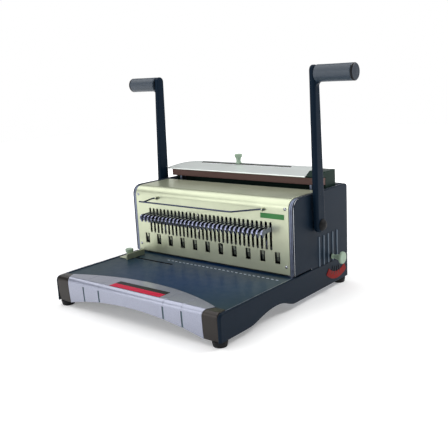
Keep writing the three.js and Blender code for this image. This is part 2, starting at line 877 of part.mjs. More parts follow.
for (const [side, word] of [
  [1, 'right'],
  [-1, 'left'],
]) {
  add(`punch_bush_${word}`, sided(bush(punchPivotDepth, punchPivotHeight), side), brass);
  add(`bind_bush_${word}`, sided(bush(bindPivotDepth, bindPivotHeight), side), brass);
}

// Lever, grip, caps and shaft, made for the right side about the shaft's own axis

const leverInner = leverInnerFace;
const leverOuter = leverInner + leverThickness;
const gripStart = leverOuter + gap;
const gripEnd = gripStart + gripLength;
const shaftShort = 0.9; // end of the shaft inside the outer face of the lever
const shaftEnd = leverOuter - shaftShort;
const coreLength = gripLength - 2 * gap;

const lever = () => {
  const foot = leverFootRadius;
  const half = leverTopWidth / 2;
  const outline = new THREE.Shape();
  outline.moveTo(-foot, 0);
  outline.absarc(0, 0, foot, Math.PI, 2 * Math.PI, false);
  outline.lineTo(half, leverLength + gripRadius - half);
  outline.absarc(0, leverLength + gripRadius - half, half, 0, Math.PI, false);
  const bar = acrossX(outline, leverInner, leverOuter, smallSides);
  const core = barX(gripCoreRadius, leverInner + gap, gripStart + coreLength, 0, leverLength);
  const socket = barX(shaftRadius + leverBore, leverInner - overrun, shaftEnd + gap, 0, 0);
  return cut(join(bar, core), socket);
};

const grip = () =>
  cut(
    barX(gripRadius, gripStart, gripEnd, 0, leverLength, bigSides),
    barX(gripCoreRadius + gap, gripStart - overrun, gripStart + coreLength + gap, 0, leverLength),
  );

const gripCap = () =>
  barX(gripRadius, gripEnd + gap, gripEnd + gripCapLength, 0, leverLength, bigSides);

const pivotCap = () => barX(pivotCapRadius, leverOuter + gap, leverOuter + pivotCapLength, 0, 0);

// Punching lever and shaft, with the two gears that drive the punching bar

const leanPiece = (geometry, lean) => geometry.rotateX(-degrees(lean));

const punchShaft = () => {
  const gears = [-rackPlace, rackPlace].map((x) =>
    acrossX(
      gearOutline(punchTeeth, punchModule, Math.PI),
      x - rackThickness / 2,
      x + rackThickness / 2,
    ),
  );
  return join(barX(shaftRadius, -frameOuter, shaftEnd, 0, 0), ...gears);
};

const punchArm = groupAt(punchPivotDepth, punchPivotHeight);
add('punch_shaft', punchShaft(), toolSteel, punchArm);
add('punch_lever', leanPiece(lever(), punchLean), darkPlastic, punchArm);
add('punch_grip', leanPiece(grip(), punchLean), slatePaint, punchArm);
add('punch_grip_cap', leanPiece(gripCap(), punchLean), rubber, punchArm);
add('punch_pivot_cap', pivotCap(), rubber, punchArm);

// Binding lever and shaft, with gears for the hooks and for the closer

const bindShaft = () => {
  const gears = [];
  for (const side of [-1, 1]) {
    const hookX = side * hookPlatePlace;
    const pressX = side * pressPlatePlace;
    const hookHalf = hookPlateThickness / 2;
    const pressHalf = pressPlateThickness / 2;
    gears.push(
      acrossX(gearOutline(hookTeeth, hookModule, Math.PI), hookX - hookHalf, hookX + hookHalf),
      acrossX(gearOutline(pressTeeth, pressModule, Math.PI), pressX - pressHalf, pressX + pressHalf),
    );
  }
  return join(barX(shaftRadius, -shaftEnd, frameOuter, 0, 0), ...gears);
};

const bindArm = groupAt(bindPivotDepth, bindPivotHeight);
add('bind_shaft', bindShaft(), toolSteel, bindArm);
add('bind_lever', leanPiece(mirrored(lever()), bindLean), darkPlastic, bindArm);
add('bind_grip', leanPiece(mirrored(grip()), bindLean), slatePaint, bindArm);
add('bind_grip_cap', leanPiece(mirrored(gripCap()), bindLean), rubber, bindArm);
add('bind_pivot_cap', mirrored(pivotCap()), rubber, bindArm);

// Return springs, coiled round the shafts beside the bushes

const wireRadius = 0.8;
const springTurns = 3.5;
const springClear = 0.9; // round the shaft
const springGap = 0.5; // between two turns
const springSteps = 10;
const springSides = 5;

const wireSection = (radius, sides) => {
  const section = new THREE.Shape();
  for (let i = 0; i < sides; i += 1) {
    const angle = (i * 2 * Math.PI) / sides;
    const x = radius * Math.cos(angle);
    const y = radius * Math.sin(angle);
    if (i === 0) section.moveTo(x, y);
    else section.lineTo(x, y);
  }
  return section;
};

class Coil extends THREE.Curve {
  constructor(radius, pitch, turns) {
    super();
    this.radius = radius;
    this.pitch = pitch;
    this.turns = turns;
  }

  getPoint(share, target = new THREE.Vector3()) {
    const angle = share * this.turns * 2 * Math.PI;
    const along = share * this.turns * this.pitch;
    return target.set(along, this.radius * Math.cos(angle), this.radius * Math.sin(angle));
  }
}

const returnSpring = () => {
  const pitch = 2 * wireRadius + springGap;
  const path = new Coil(shaftRadius + springClear + wireRadius, pitch, springTurns);
  const coil = new THREE.ExtrudeGeometry(wireSection(wireRadius, springSides), {
    steps: springTurns * springSteps,
    extrudePath: path,
    bevelEnabled: false,
  });
  const end = frameInner - bushFlange - gap - wireRadius;
  return coil.translate(end - springTurns * pitch - springGap, 0, 0);
};

add(
  'punch_spring',
  returnSpring().translate(0, punchPivotDepth, punchPivotHeight),
  brightSteel,
);
add(
  'bind_spring',
  returnSpring()
    .rotateZ(Math.PI)
    .translate(0, bindPivotDepth, bindPivotHeight),
  brightSteel,
);

// Punching unit: die, stripper, guide rods and the bar with its pins and racks

const pinPlaces = Array.from({ length: holeCount }, (_, i) => (i - (holeCount - 1) / 2) * holePitch);
const dieTop = tableHeight;
const dieHalf = deckHalf - sheet - gap;

const pinHoles = (z0, z1) => pinPlaces.map((x) => barZ(pinHole, z0, z1, x, pinDepth, pinSides));
const rodHoles = (radius, z0, z1) =>
  [-rodPlace, rodPlace].map((x) => barZ(radius, z0, z1, x, pinDepth, smallSides));

const dieBlock = () =>
  cut(
    block(
      -dieHalf,
      dieHalf,
      pinDepth - dieDepth / 2,
      pinDepth + dieDepth / 2,
      dieTop - dieHeight,
      dieTop,
    ),
    ...pinHoles(0, dieTop + overrun),
    ...rodHoles(rodRadius + gap, dieTop - dieHeight / 2, dieTop + overrun),
  );

const stripperPlate = () => {
  const front = pinDepth - dieDepth / 2;
  const rear = pinDepth + dieDepth / 2;
  const half = throatHalf;
  return cut(
    join(
      block(-dieHalf, dieHalf, front, rear, stripperBottom, stripperTop),
      block(half, dieHalf, front, rear, dieTop, stripperTop),
      block(-dieHalf, -half, front, rear, dieTop, stripperTop),
    ),
    ...pinHoles(dieTop, stripperTop + overrun),
    ...rodHoles(rodRadius + gap, 0, stripperTop + overrun),
  );
};

const guideRod = (x) =>
  barZ(rodRadius, dieTop - dieHeight / 2 + gap, barTop + gap, x, pinDepth, smallSides);

const punchBar = () => {
  const front = pinDepth - dieDepth / 2 + punchBarStep;
  const bar = block(-dieHalf, dieHalf, front, front + punchBarDepth, barBottom, barTop);
  const pins = pinPlaces.map((x) =>
    barZ(pinRadius, stripperBottom + pinRest, barBottom + overrun, x, pinDepth, pinSides),
  );
  return cut(join(bar, ...pins), ...rodHoles(rodRadius + gap, 0, housingHeight));
};

const rackFootHeight = 8;
const rackAbove = teethFor(punchStroke, punchModule); // teeth above the shaft
const rackBelow = 3;

const punchRack = (x) => {
  const pitchLine = punchPivotDepth - punchPitchRadius;
  const toothRoot = pitchLine - punchModule * dedendumShare;
  const front = pinDepth;
  const back = toothRoot - rackDepth;
  const top = punchPivotHeight + rackAbove * Math.PI * punchModule;
  const teeth = rackTeeth(punchModule, rackBelow, rackAbove).map(([along, out]) => [
    pitchLine + out,
    punchPivotHeight + along,
  ]);
  const outline = [
    [front, barTop],
    [toothRoot, barTop],
    ...teeth,
    [toothRoot, top],
    [back, top],
    [back, barTop + rackFootHeight],
    [front, barTop + rackFootHeight],
  ];
  return acrossX(outline, x - rackThickness / 2, x + rackThickness / 2);
};

add('die_block', dieBlock(), toolSteel);
add('stripper_plate', stripperPlate(), greySteel);
add('guide_rod_right', guideRod(rodPlace), brightSteel);
add('guide_rod_left', guideRod(-rodPlace), brightSteel);
add('punch_bar', punchBar(), toolSteel);
add('punch_rack_right', punchRack(rackPlace), greySteel);
add('punch_rack_left', punchRack(-rackPlace), greySteel);

// Hook carriage: a bar with one hook for each slot, and two rack plates

const hookBar = () => {
  const front = panelFace + hookBarBehind;
  const half = hookPlatePlace + hookPlateThickness / 2;
  const low = hookTop - hookHeight;
  const nose = panelFace - hookReach;
  const bend = hookHeight + hookBarBehind / 2;
  const tip = hookTop - hookDrop;
  const bar = block(-half, half, front, front + hookBarDepth, low, hookTop);
  const side = new THREE.Shape();
  side.moveTo(front + hookBarDepth / 2, low);
  side.lineTo(front + hookBarDepth / 2, hookTop);
  side.lineTo(nose + bend, hookTop);
  side.quadraticCurveTo(nose, hookTop, nose, low);
  side.lineTo(nose + hookHeight / 2, tip);
  side.lineTo(nose + hookHeight, low - hookHeight / 3);
  side.quadraticCurveTo(nose + hookHeight, low, nose + 2 * hookHeight, low);
  const hooks = pinPlaces.map((x) =>
    acrossX(side, x - hookThickness / 2, x + hookThickness / 2, arcSteps - 1),
  );
  return join(bar, ...hooks, hookPlate(hookPlatePlace), hookPlate(-hookPlatePlace));
};

const hookPlateHeadroom = 6;
const overlap = 1; // how far joined shapes reach into one another
const hookRackBelow = 2;
const hookRackAbove = teethFor(hookStroke, hookModule);

const hookPlate = (x) => {
  const front = panelFace + hookBarBehind;
  const rear = front + hookBarDepth;
  const pitchLine = bindPivotDepth - hookPitchRadius;
  const root = pitchLine - hookModule * dedendumShare;
  const step = Math.PI * hookModule;
  const bottom = bindPivotHeight - hookRackBelow * step;
  const top = bindPivotHeight + hookRackAbove * step;
  const windowFront = punchPivotDepth - shaftRadius - windowClearance;
  const windowLow = punchPivotHeight - shaftRadius - windowClearance;
  const windowHigh = punchPivotHeight + shaftRadius + windowClearance + hookStroke;
  const web = hookPlateHeadroom;
  const low = hookTop - hookHeight;
  const teeth = rackTeeth(hookModule, hookRackBelow, hookRackAbove).map(([along, out]) => [
    pitchLine + out,
    bindPivotHeight + along,
  ]);
  const outline = [
    [rear - overlap, low],
    [windowFront - web, low],
    [windowFront - web, Math.min(windowLow - web, bottom)],
    [root, Math.min(windowLow - web, bottom)],
    ...teeth,
    [root, Math.max(windowHigh + web, top)],
    [windowFront - web, windowHigh + web],
    [windowFront - web, hookTop + web],
    [rear - overlap, hookTop + web],
  ];
  const half = hookPlateThickness / 2;
  const window = block(
    x - hookPlateThickness,
    x + hookPlateThickness,
    windowFront,
    shaftWindowRear,
    windowLow,
    windowHigh,
  );
  return cut(acrossX(outline, x - half, x + half), window);
};

add('hook_carriage', hookBar(), blackSteel);

// Wire closer: bed, pressing bar and its rack plates, end blocks, cover plate and size knob

const bedFloor = housingHeight - bedSink;
const pressPlateFront = closerFront + gap;
const pressPlateRear = closerFront + pressBarDepth;
const pressSlot = pressPlateThickness / 2 + runningGap;
const backstopBehind = 24; // face of the backstop behind the face of the pressing bar
const backstopDepth = closerFront + backstopBehind;
const backstopThickness = 5;
const coverLead = 2; // front edge of the cover plate in front of the pressing bar
const coverFrontDepth = closerFront - coverLead;
const coverPlate = 2;
const coverLow = pressBarBottom + pressBarHeight + gap; // underside at the front edge
const coverRise = 9.5; // from the front edge to the rear edge
const endBlockWidth = 29.4; // right end block
const coverRight = closerHalf - endBlockWidth - 2 * gap;
const coverTipClear = 1; // tip of the plate to the lever beside it
const coverLeft = coverTipClear - leverInnerFace;
const coverTaper = 62; // length of the rounded left end
const coverTaperWide = 6; // how far that end leans in before it turns
const coverSpan = closerRear - coverFrontDepth;
const underCover = (depth) => coverLow + (coverRise * (depth - coverFrontDepth)) / coverSpan;

const closerBed = () => {
  const rear = bedRear;
  const floorTop = bedFloor;
  const outline = [
    [bedFront, floorTop - sheet],
    [rear, floorTop - sheet],
    [rear, housingHeight],
    [rear - sheet, housingHeight],
    [rear - sheet, floorTop],
    [bedFront + sheet, floorTop],
    [bedFront + sheet, housingHeight],
    [bedFront, housingHeight],
  ];
  const stop = block(
    leftBlockLeft + coverEndWidth + gap,
    coverRight - gap,
    backstopDepth,
    backstopDepth + backstopThickness,
    floorTop - sheet / 2,
    underCover(backstopDepth) - gap,
  );
  const slots = [-pressPlatePlace, pressPlatePlace].map((x) =>
    block(
      x - pressSlot,
      x + pressSlot,
      pressPlateFront - runningGap,
      pressPlateRear + runningGap,
      0,
      floorTop + overrun,
    ),
  );
  return cut(join(acrossX(outline, -panelHalf, panelHalf), stop), ...slots);
};

const coverEndWidth = 10;
const leftBlockStep = 1; // left end block to the end of the pressing bar
const leftBlockLeft = leftBlockStep - closerHalf;
const leftBlockDepth = 12;
const endFront = closerFront + pressBarDepth + gap;
const rightBlockHeight = 26; // above the top sheet
const rightBlockTop = housingHeight + rightBlockHeight;

const closerEndRight = () => {
  const hoodFront = coverFrontDepth + coverPlate / 2;
  const outline = [
    [endFront, bedFloor],
    [closerRear, bedFloor],
    [closerRear, rightBlockTop],
    [endFront, rightBlockTop],
    [hoodFront, coverLow + coverPlate],
    [hoodFront, coverLow],
    [endFront, coverLow],
  ];
  return acrossX(outline, coverRight + gap, closerHalf - gap);
};

const closerEndLeft = () => {
  const rear = endFront + leftBlockDepth;
  const outline = [
    [endFront, bedFloor],
    [rear, bedFloor],
    [rear, underCover(rear) - gap],
    [endFront, underCover(endFront) - gap],
  ];
  return acrossX(outline, leftBlockLeft, leftBlockLeft + coverEndWidth);
};

const knobSlotMarginLeft = 45; // slot of the size knob to the left end of the pressing bar
const knobSlotMarginRight = 50; // and to the right end of the cover plate
const knobSlotLeft = knobSlotMarginLeft - closerHalf;
const knobSlotRight = coverRight - knobSlotMarginRight;
const knobSlotWidth = 5;
const knobAhead = 8; // slot in front of the rear of the closer
const knobDepth = closerRear - knobAhead;

const closerCover = () => {
  const plan = new THREE.Shape();
  plan.moveTo(coverLeft, coverFrontDepth);
  plan.lineTo(coverRight, coverFrontDepth);
  plan.lineTo(coverRight, closerRear);
  plan.lineTo(coverLeft + coverTaper, closerRear);
  plan.quadraticCurveTo(coverLeft + coverTaperWide, closerRear, coverLeft, coverFrontDepth + coverPlate);
  const profile = [
    [coverFrontDepth, underCover(coverFrontDepth)],
    [closerRear, underCover(closerRear)],
    [closerRear, underCover(closerRear) + coverPlate],
    [coverFrontDepth, underCover(coverFrontDepth) + coverPlate],
  ];
  const slab = common(
    acrossX(profile, coverLeft, coverRight),
    upZ(plan, 0, 2 * housingHeight, bigSides),
  );
  const half = knobSlotWidth / 2;
  const slot = block(
    knobSlotLeft,
    knobSlotRight,
    knobDepth - half,
    knobDepth + half,
    0,
    2 * housingHeight,
  );
  return cut(slab, slot);
};

const pressBar = () =>
  block(
    -closerHalf,
    closerHalf,
    closerFront,
    closerFront + pressBarDepth,
    pressBarBottom,
    pressBarBottom + pressBarHeight,
  );

const pressRackBelow = 2;
const pressRackAbove = teethFor(pressStroke, pressModule);
const pressWeb = 4;

const pressPlate = (x) => {
  const pitchLine = bindPivotDepth - pressPitchRadius;
  const root = pitchLine - pressModule * dedendumShare;
  const step = Math.PI * pressModule;
  const tipRadius = pressPitchRadius + pressModule * addendumShare;
  const low = bindPivotHeight - pressRackBelow * step;
  const high = bindPivotHeight + pressRackAbove * step;
  const windowLow = bindPivotHeight - tipRadius - runningGap;
  const windowHigh = bindPivotHeight + tipRadius + runningGap + pressStroke;
  const windowRear = bindPivotDepth + tipRadius + runningGap;
  const teeth = rackTeeth(pressModule, pressRackBelow, pressRackAbove).map(([along, out]) => [
    pitchLine + out,
    bindPivotHeight + along,
  ]);
  const windowPoints = [
    [root, Math.min(windowLow, low)],
    ...teeth,
    [root, Math.max(windowHigh, high)],
    [windowRear, Math.max(windowHigh, high)],
    [windowRear, Math.min(windowLow, low)],
  ];
  const bottom = Math.min(windowLow, low) - pressWeb;
  const shoulder = Math.max(windowHigh, high) + pressWeb;
  const outline = [
    [root - pressWeb, bottom],
    [pressPlateRear, bottom],
    [pressPlateRear, pressBarBottom],
    [pressPlateFront, pressBarBottom],
    [pressPlateFront, shoulder],
    [root - pressWeb, shoulder],
  ];
  const half = pressPlateThickness / 2;
  return cut(
    acrossX(outline, x - half, x + half),
    acrossX(windowPoints, x - pressPlateThickness, x + pressPlateThickness),
  );
};

const knobHead = 7; // radius
const knobNeck = 4.3;
const knobHeadHeight = 8;
const knobNeckHeight = 9;
const sizeKnobPlace = -30;
const stopWidth = 24;
const stopHeight = 7;

const sizeKnob = () => {
  const half = knobSlotWidth / 2;
  const seat = underCover(knobDepth + knobNeck) + coverPlate + gap;
  const under = underCover(knobDepth - knobNeck) - gap;
  return join(
    barZ(half - gap, under - stopHeight / 2, seat + gap, 0, knobDepth, smallSides),
    barZ(knobNeck, seat, seat + knobNeckHeight, 0, knobDepth, roundSides),
    new THREE.CylinderGeometry(knobHead, knobNeck, knobHeadHeight, roundSides)
      .rotateX(Math.PI / 2)
      .translate(0, knobDepth, seat + knobNeckHeight + knobHeadHeight / 2 - gap),
    block(
      -stopWidth / 2,
      stopWidth / 2,
      backstopDepth + backstopThickness + runningGap,
      closerRear,
      under - stopHeight,
      under,
    ),
  ).translate(sizeKnobPlace, 0, 0);
};

add('closer_bed', closerBed(), greenBlack);
add('closer_end_right', closerEndRight(), greenBlack);
add('closer_end_left', closerEndLeft(), greenBlack);
add('closer_cover', closerCover(), brushedAlloy);
add('press_bar', pressBar(), brownPaint);
add('press_plate_right', pressPlate(pressPlatePlace), greySteel);
add('press_plate_left', pressPlate(-pressPlatePlace), greySteel);
add('size_knob', sizeKnob(), paleKnob);

// Wire bail in front of the panel, hinged in two ears

const bailReach = 27; // bar in front of the ears
const bailSkewLeft = 4; // the left arm leans outwards by this much
const bailSkewRight = 40; // the right arm leans inwards by this much
const bailTail = 10; // free end of the bar beyond the left arm
const bailPin = 3; // pin in each ear, past its middle
const bailCorner = 3;
const bailShoulder = 2.5; // straight wire beside each ear
const bailSides = 8;
const bailSteps = 60;
const bailDroop = 4; // degrees below level at rest

const tube = (points, radius, sides, steps) => {
  const path = new THREE.CurvePath();
  const places = points.map((p) => new THREE.Vector3(...p));
  let from = places[0];
  for (let i = 1; i < places.length - 1; i += 1) {
    const before = places[i].clone().add(
      places[i - 1].clone().sub(places[i]).setLength(bailCorner),
    );
    const after = places[i].clone().add(
      places[i + 1].clone().sub(places[i]).setLength(bailCorner),
    );
    path.add(new THREE.LineCurve3(from, before));
    path.add(new THREE.QuadraticBezierCurve3(before, places[i], after));
    from = after;
  }
  path.add(new THREE.LineCurve3(from, places[places.length - 1]));
  return new THREE.ExtrudeGeometry(wireSection(radius, sides), {
    steps,
    extrudePath: path,
    bevelEnabled: false,
  });
};

const wireBail = () => {
  const left = bailLeft - earThickness / 2 - bailCorner - bailShoulder;
  const right = bailRight - earThickness / 2 - bailCorner - bailShoulder;
  const barLeft = bailLeft - bailSkewLeft;
  const barRight = bailRight - bailSkewRight;
  const droop = -bailReach * Math.sin(degrees(bailDroop));
  const frontBar = [barRight, -bailReach, droop];
  const pinRight = bailRight - earThickness / 2 - gap;
  const pinLeft = bailLeft - earThickness / 2 - gap;
  const wire = tube(
    [[barLeft - bailTail, -bailReach, droop], frontBar, [right, 0, 0], [pinRight, 0, 0]],
    bailRadius,
    bailSides,
    bailSteps,
  );
  const arm = tube(
    [[barLeft, -bailReach, droop], [left, 0, 0], [pinLeft, 0, 0]],
    bailRadius,
    bailSides,
    bailSteps / 2,
  );
  const pins = [
    barX(bailRadius, pinRight - bailShoulder / 2, bailRight + bailPin, 0, 0, bailSides),
    barX(bailRadius, pinLeft - bailShoulder / 2, bailLeft + bailPin, 0, 0, bailSides),
  ];
  return join(wire, arm, ...pins);
};

const bail = groupAt(earCentre, bailHeight);
add('wire_bail', wireBail(), brightSteel, bail);

// Paper guide that slides along the slot in the table, with its clamping knob

const guideThickness = 2.5;
const guideLead = 19.5; // upright in front of the slot's middle line
const guideTail = 22; // and behind it
const flangeLead = 15;
const flangeTail = 13;
const guideFront = guideSlotDepth - guideLead;
const guideRear = guideSlotDepth + guideTail;
const guideHeight = 10;
const guideFlangeFront = guideSlotDepth - flangeLead;
const guideFlangeRear = guideSlotDepth + flangeTail;
const shankRadius = 2;
const guideSeat = tableHeight + gap;

const edgeGuide = () => {
  const upright = block(
    guideFace - guideThickness,
    guideFace,
    guideFront,
    guideRear,
    guideSeat,
    guideSeat + guideHeight,
  );
  const flange = block(
    guideFlangeLeft,
    guideFace - guideThickness / 2,
    guideFlangeFront,
    guideFlangeRear,
    guideSeat,
    guideSeat + sheet,
  );
  const hole = barZ(shankRadius + gap, 0, housingHeight, guideKnobPlace, guideSlotDepth, smallSides);
  return cut(join(upright, flange), hole);
};

const guideKnob = () => {
  const top = guideSeat + sheet + gap;
  const under = tableUnder - gap;
  return join(
    barZ(shankRadius, under - sheet, top + gap, 0, 0, smallSides),
    barZ(knobNeck, top, top + knobNeckHeight / 2, 0, 0, roundSides),
    new THREE.CylinderGeometry(knobHead, knobNeck, knobHeadHeight, roundSides)
      .rotateX(Math.PI / 2)
      .translate(0, 0, top + knobNeckHeight / 2 + knobHeadHeight / 2 - gap),
    barZ(knobHead, under - 2 * sheet, under, 0, 0, smallSides),
  );
};

add('edge_guide', edgeGuide(), creamPaint);
add('guide_knob', guideKnob(), paleKnob, groupAt(guideSlotDepth, 0, machine, guideKnobPlace));

// Margin control: knob and shaft on the right, two gears, and the paper stop

const marginKnobRadius = 10;
const marginDiscThickness = 3;
const marginStemRadius = 5;
const marginStemRoot = 4; // radius of the stem beside the cover
const marginKnobLength = 22;

const marginShaft = () => {
  const gears = [-marginRackPlace, marginRackPlace].map((x) =>
    acrossX(
      gearOutline(marginTeeth, marginModule, -Math.PI / 2),
      x - rackThickness / 2,
      x + rackThickness / 2,
    ),
  );
  return join(
    barX(marginShaftRadius, -frameOuter, coverOuter + marginKnobLength / 2, 0, 0, smallSides),
    ...gears,
  );
};

const marginKnob = () => {
  const start = coverOuter + ribProud + gap;
  const end = coverOuter + marginKnobLength;
  const stem = new THREE.CylinderGeometry(
    marginStemRadius,
    marginStemRoot,
    end - start - marginDiscThickness / 2,
    roundSides,
  )
    .rotateZ(-Math.PI / 2)
    .translate((start + end - marginDiscThickness / 2) / 2, 0, 0);
  return cut(
    join(stem, barX(marginKnobRadius, end - marginDiscThickness, end, 0, 0, bigSides)),
    barX(
      marginShaftRadius + gap,
      start - overrun,
      coverOuter + marginKnobLength / 2 + gap,
      0,
      0,
      smallSides,
    ),
  );
};

const margin = groupAt(marginDepth, marginHeight);
add('margin_shaft', marginShaft(), brightSteel, margin);
add('margin_knob', marginKnob(), paleKnob, margin);

const paperMargin = 8; // row of holes to the edge of the paper at the middle setting
const stopFront = pinDepth + paperMargin;
const stopBlade = 1.9;
const stopBarDepth = 5;
const stopMargin = 12.7; // end of the paper stop to the end of the panel
const stopHalf = panelHalf - stopMargin;
const stopTravel = 4;

const depthStop = () => {
  const low = tableHeight + gap;
  const barFront = pinDepth + dieDepth / 2 + stopTravel + gap;
  const pitchLine = marginHeight - marginPitchRadius;
  const root = pitchLine - marginModule * dedendumShare;
  const teethHalf = 4;
  const rackHalf = (teethHalf + spareTeeth) * Math.PI * marginModule;
  const teeth = rackTeeth(marginModule, teethHalf, teethHalf).map(([along, out]) => [
    marginDepth + along,
    pitchLine + out,
  ]);
  const rackOutline = [
    [barFront, low],
    [marginDepth + rackHalf, low],
    [marginDepth + rackHalf, root],
    ...teeth.reverse(),
    [marginDepth - rackHalf, root],
    [barFront, root],
  ];
  const racks = [-marginRackPlace, marginRackPlace].map((x) =>
    acrossX(rackOutline, x - rackThickness / 2, x + rackThickness / 2),
  );
  return join(
    block(-stopHalf, stopHalf, stopFront, barFront + stopBarDepth, low, low + stopBlade),
    block(-stopHalf, stopHalf, barFront, barFront + stopBarDepth, low, low + 2 * stopBarDepth),
    ...racks,
  );
};

add('depth_stop', depthStop(), brightSteel);

const dialBehind = 17.7; // its centre behind the knob's shaft
const dialAbove = 12.8; // and above it
const dialCentreDepth = marginDepth + dialBehind;
const dialCentreHeight = marginHeight + dialAbove;
const dialRadius = 53.4;
const dialDepth = 12;
const dialStart = 229; // degrees round the dial's centre
const dialEnd = 303;
const dialThickness = 0.8;

const marginDial = () => {
  const dial = new THREE.Shape();
  const inner = dialRadius - dialDepth;
  dial.absarc(dialCentreDepth, dialCentreHeight, dialRadius, degrees(dialStart), degrees(dialEnd), false);
  dial.absarc(dialCentreDepth, dialCentreHeight, inner, degrees(dialEnd), degrees(dialStart), true);
  return acrossX(dial, coverOuter, coverOuter + dialThickness, 2 * arcSteps);
};

add('margin_dial', marginDial(), redVinyl);

// Drawer for the punched chips, drawn out at the back

const drawerFront = pinDepth - dieDepth / 2;

const chipDrawer = () => {
  const bottom = bottomTop + gap;
  return cut(
    block(-drawerHalf, drawerHalf, drawerFront, rearOuter, bottom, drawerTop),
    block(
      sheet - drawerHalf,
      drawerHalf - sheet,
      drawerFront + sheet,
      rearOuter - 2 * sheet,
      bottom + sheet,
      drawerTop + overrun,
    ),
  );
};

add('chip_drawer', chipDrawer(), darkPlastic);

export default model;
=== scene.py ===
"""The visible surfaces of a two-lever wire binding machine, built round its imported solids.

Lengths are in metres, +X to the right of the user, +Y to the back, +Z up, with the origin on
the desk under the middle of the machine.
"""
import json
import math

import bmesh
import bpy
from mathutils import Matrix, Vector

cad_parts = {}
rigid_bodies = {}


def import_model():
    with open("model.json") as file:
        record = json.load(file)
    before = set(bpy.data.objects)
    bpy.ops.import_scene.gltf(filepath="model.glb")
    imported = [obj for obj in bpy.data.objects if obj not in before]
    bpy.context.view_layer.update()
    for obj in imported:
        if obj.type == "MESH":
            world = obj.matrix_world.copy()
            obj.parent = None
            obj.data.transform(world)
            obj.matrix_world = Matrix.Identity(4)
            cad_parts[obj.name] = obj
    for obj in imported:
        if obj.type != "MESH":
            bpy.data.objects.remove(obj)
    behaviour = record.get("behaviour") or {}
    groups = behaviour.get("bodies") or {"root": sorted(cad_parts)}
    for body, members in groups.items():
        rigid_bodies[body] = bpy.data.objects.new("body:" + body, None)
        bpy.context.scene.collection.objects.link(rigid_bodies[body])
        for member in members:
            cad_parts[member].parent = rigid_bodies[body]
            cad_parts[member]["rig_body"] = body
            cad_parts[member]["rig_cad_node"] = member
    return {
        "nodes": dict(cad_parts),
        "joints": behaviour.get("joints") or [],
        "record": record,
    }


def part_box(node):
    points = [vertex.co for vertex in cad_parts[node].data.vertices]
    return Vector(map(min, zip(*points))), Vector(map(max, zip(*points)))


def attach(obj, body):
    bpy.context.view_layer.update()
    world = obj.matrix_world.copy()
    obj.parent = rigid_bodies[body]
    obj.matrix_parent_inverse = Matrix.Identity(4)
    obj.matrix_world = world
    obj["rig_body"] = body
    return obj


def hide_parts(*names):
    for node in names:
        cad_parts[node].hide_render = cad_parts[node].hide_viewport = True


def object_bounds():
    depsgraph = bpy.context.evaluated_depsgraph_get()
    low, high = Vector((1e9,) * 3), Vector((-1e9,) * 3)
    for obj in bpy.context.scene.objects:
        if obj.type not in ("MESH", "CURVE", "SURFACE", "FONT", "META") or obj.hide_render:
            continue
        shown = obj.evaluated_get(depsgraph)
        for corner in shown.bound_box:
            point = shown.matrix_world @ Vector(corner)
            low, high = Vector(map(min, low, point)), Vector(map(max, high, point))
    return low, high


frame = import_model()
solid_box = [list(corner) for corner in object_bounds()]

bl_info = {
    "name": "Wire Binding Machine",
    "version": (1, 0, 0),
    "blender": (4, 5, 0),
    "location": "3D View > Sidebar > Binder",
    "description": "Builds the visible surfaces of a wire binding machine round its packed solids",
    "category": "Object",
}

MM = 0.001
X, Y, Z = Vector((1, 0, 0)), Vector((0, 1, 0)), Vector((0, 0, 1))
WELD, FLAT = 0.002 * MM, math.radians(0.05)
SIDES = {"right": 1, "left": -1}
LEVERS = {"punch": ("punch_lever_turn", 1), "bind": ("bind_lever_turn", -1)}
BODIES = frame["record"]["behaviour"]["bodies"]
BODY_OF = {node: body for body, nodes in BODIES.items() for node in nodes}
SLOT_OF = {row["node"]: row["material_slot"] for row in frame["record"]["subparts"]}
PIVOT = {joint["name"]: Vector(joint.get("pos_m", (0, 0, 0))) for joint in frame["joints"]}
TABLE_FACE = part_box("table")[1].z
TRIM_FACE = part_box("front_trim")[0].y
BEND_FOOT, TRIM_FOOT, BOW_DEPTH = 41.3 * MM, 9 * MM, 1.8 * MM
PANEL_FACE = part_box("name_plate")[1].y
PANEL_SHEET = PANEL_FACE + 1.6 * MM
COVER_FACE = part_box("margin_dial")[0].x
CLOSER_SLOT = 141 * MM
MATERIALS = {}


# Colours and sizes that a user would change


def linear(code):
    """A six digit sRGB hex value as linear red, green and blue."""
    parts = [int(code[i:i + 2], 16) / 255 for i in (0, 2, 4)]
    return [v / 12.92 if v <= 0.04045 else ((v + 0.055) / 1.055) ** 2.4 for v in parts]


def colour(title, code, words):
    return bpy.props.FloatVectorProperty(
        name=title, description=words, subtype="COLOR", size=3, min=0, max=1, default=linear(code)
    )


def length(title, millimetres, words):
    size = millimetres * MM
    return bpy.props.FloatProperty(
        name=title, description=words, subtype="DISTANCE", unit="LENGTH", min=0, default=size
    )


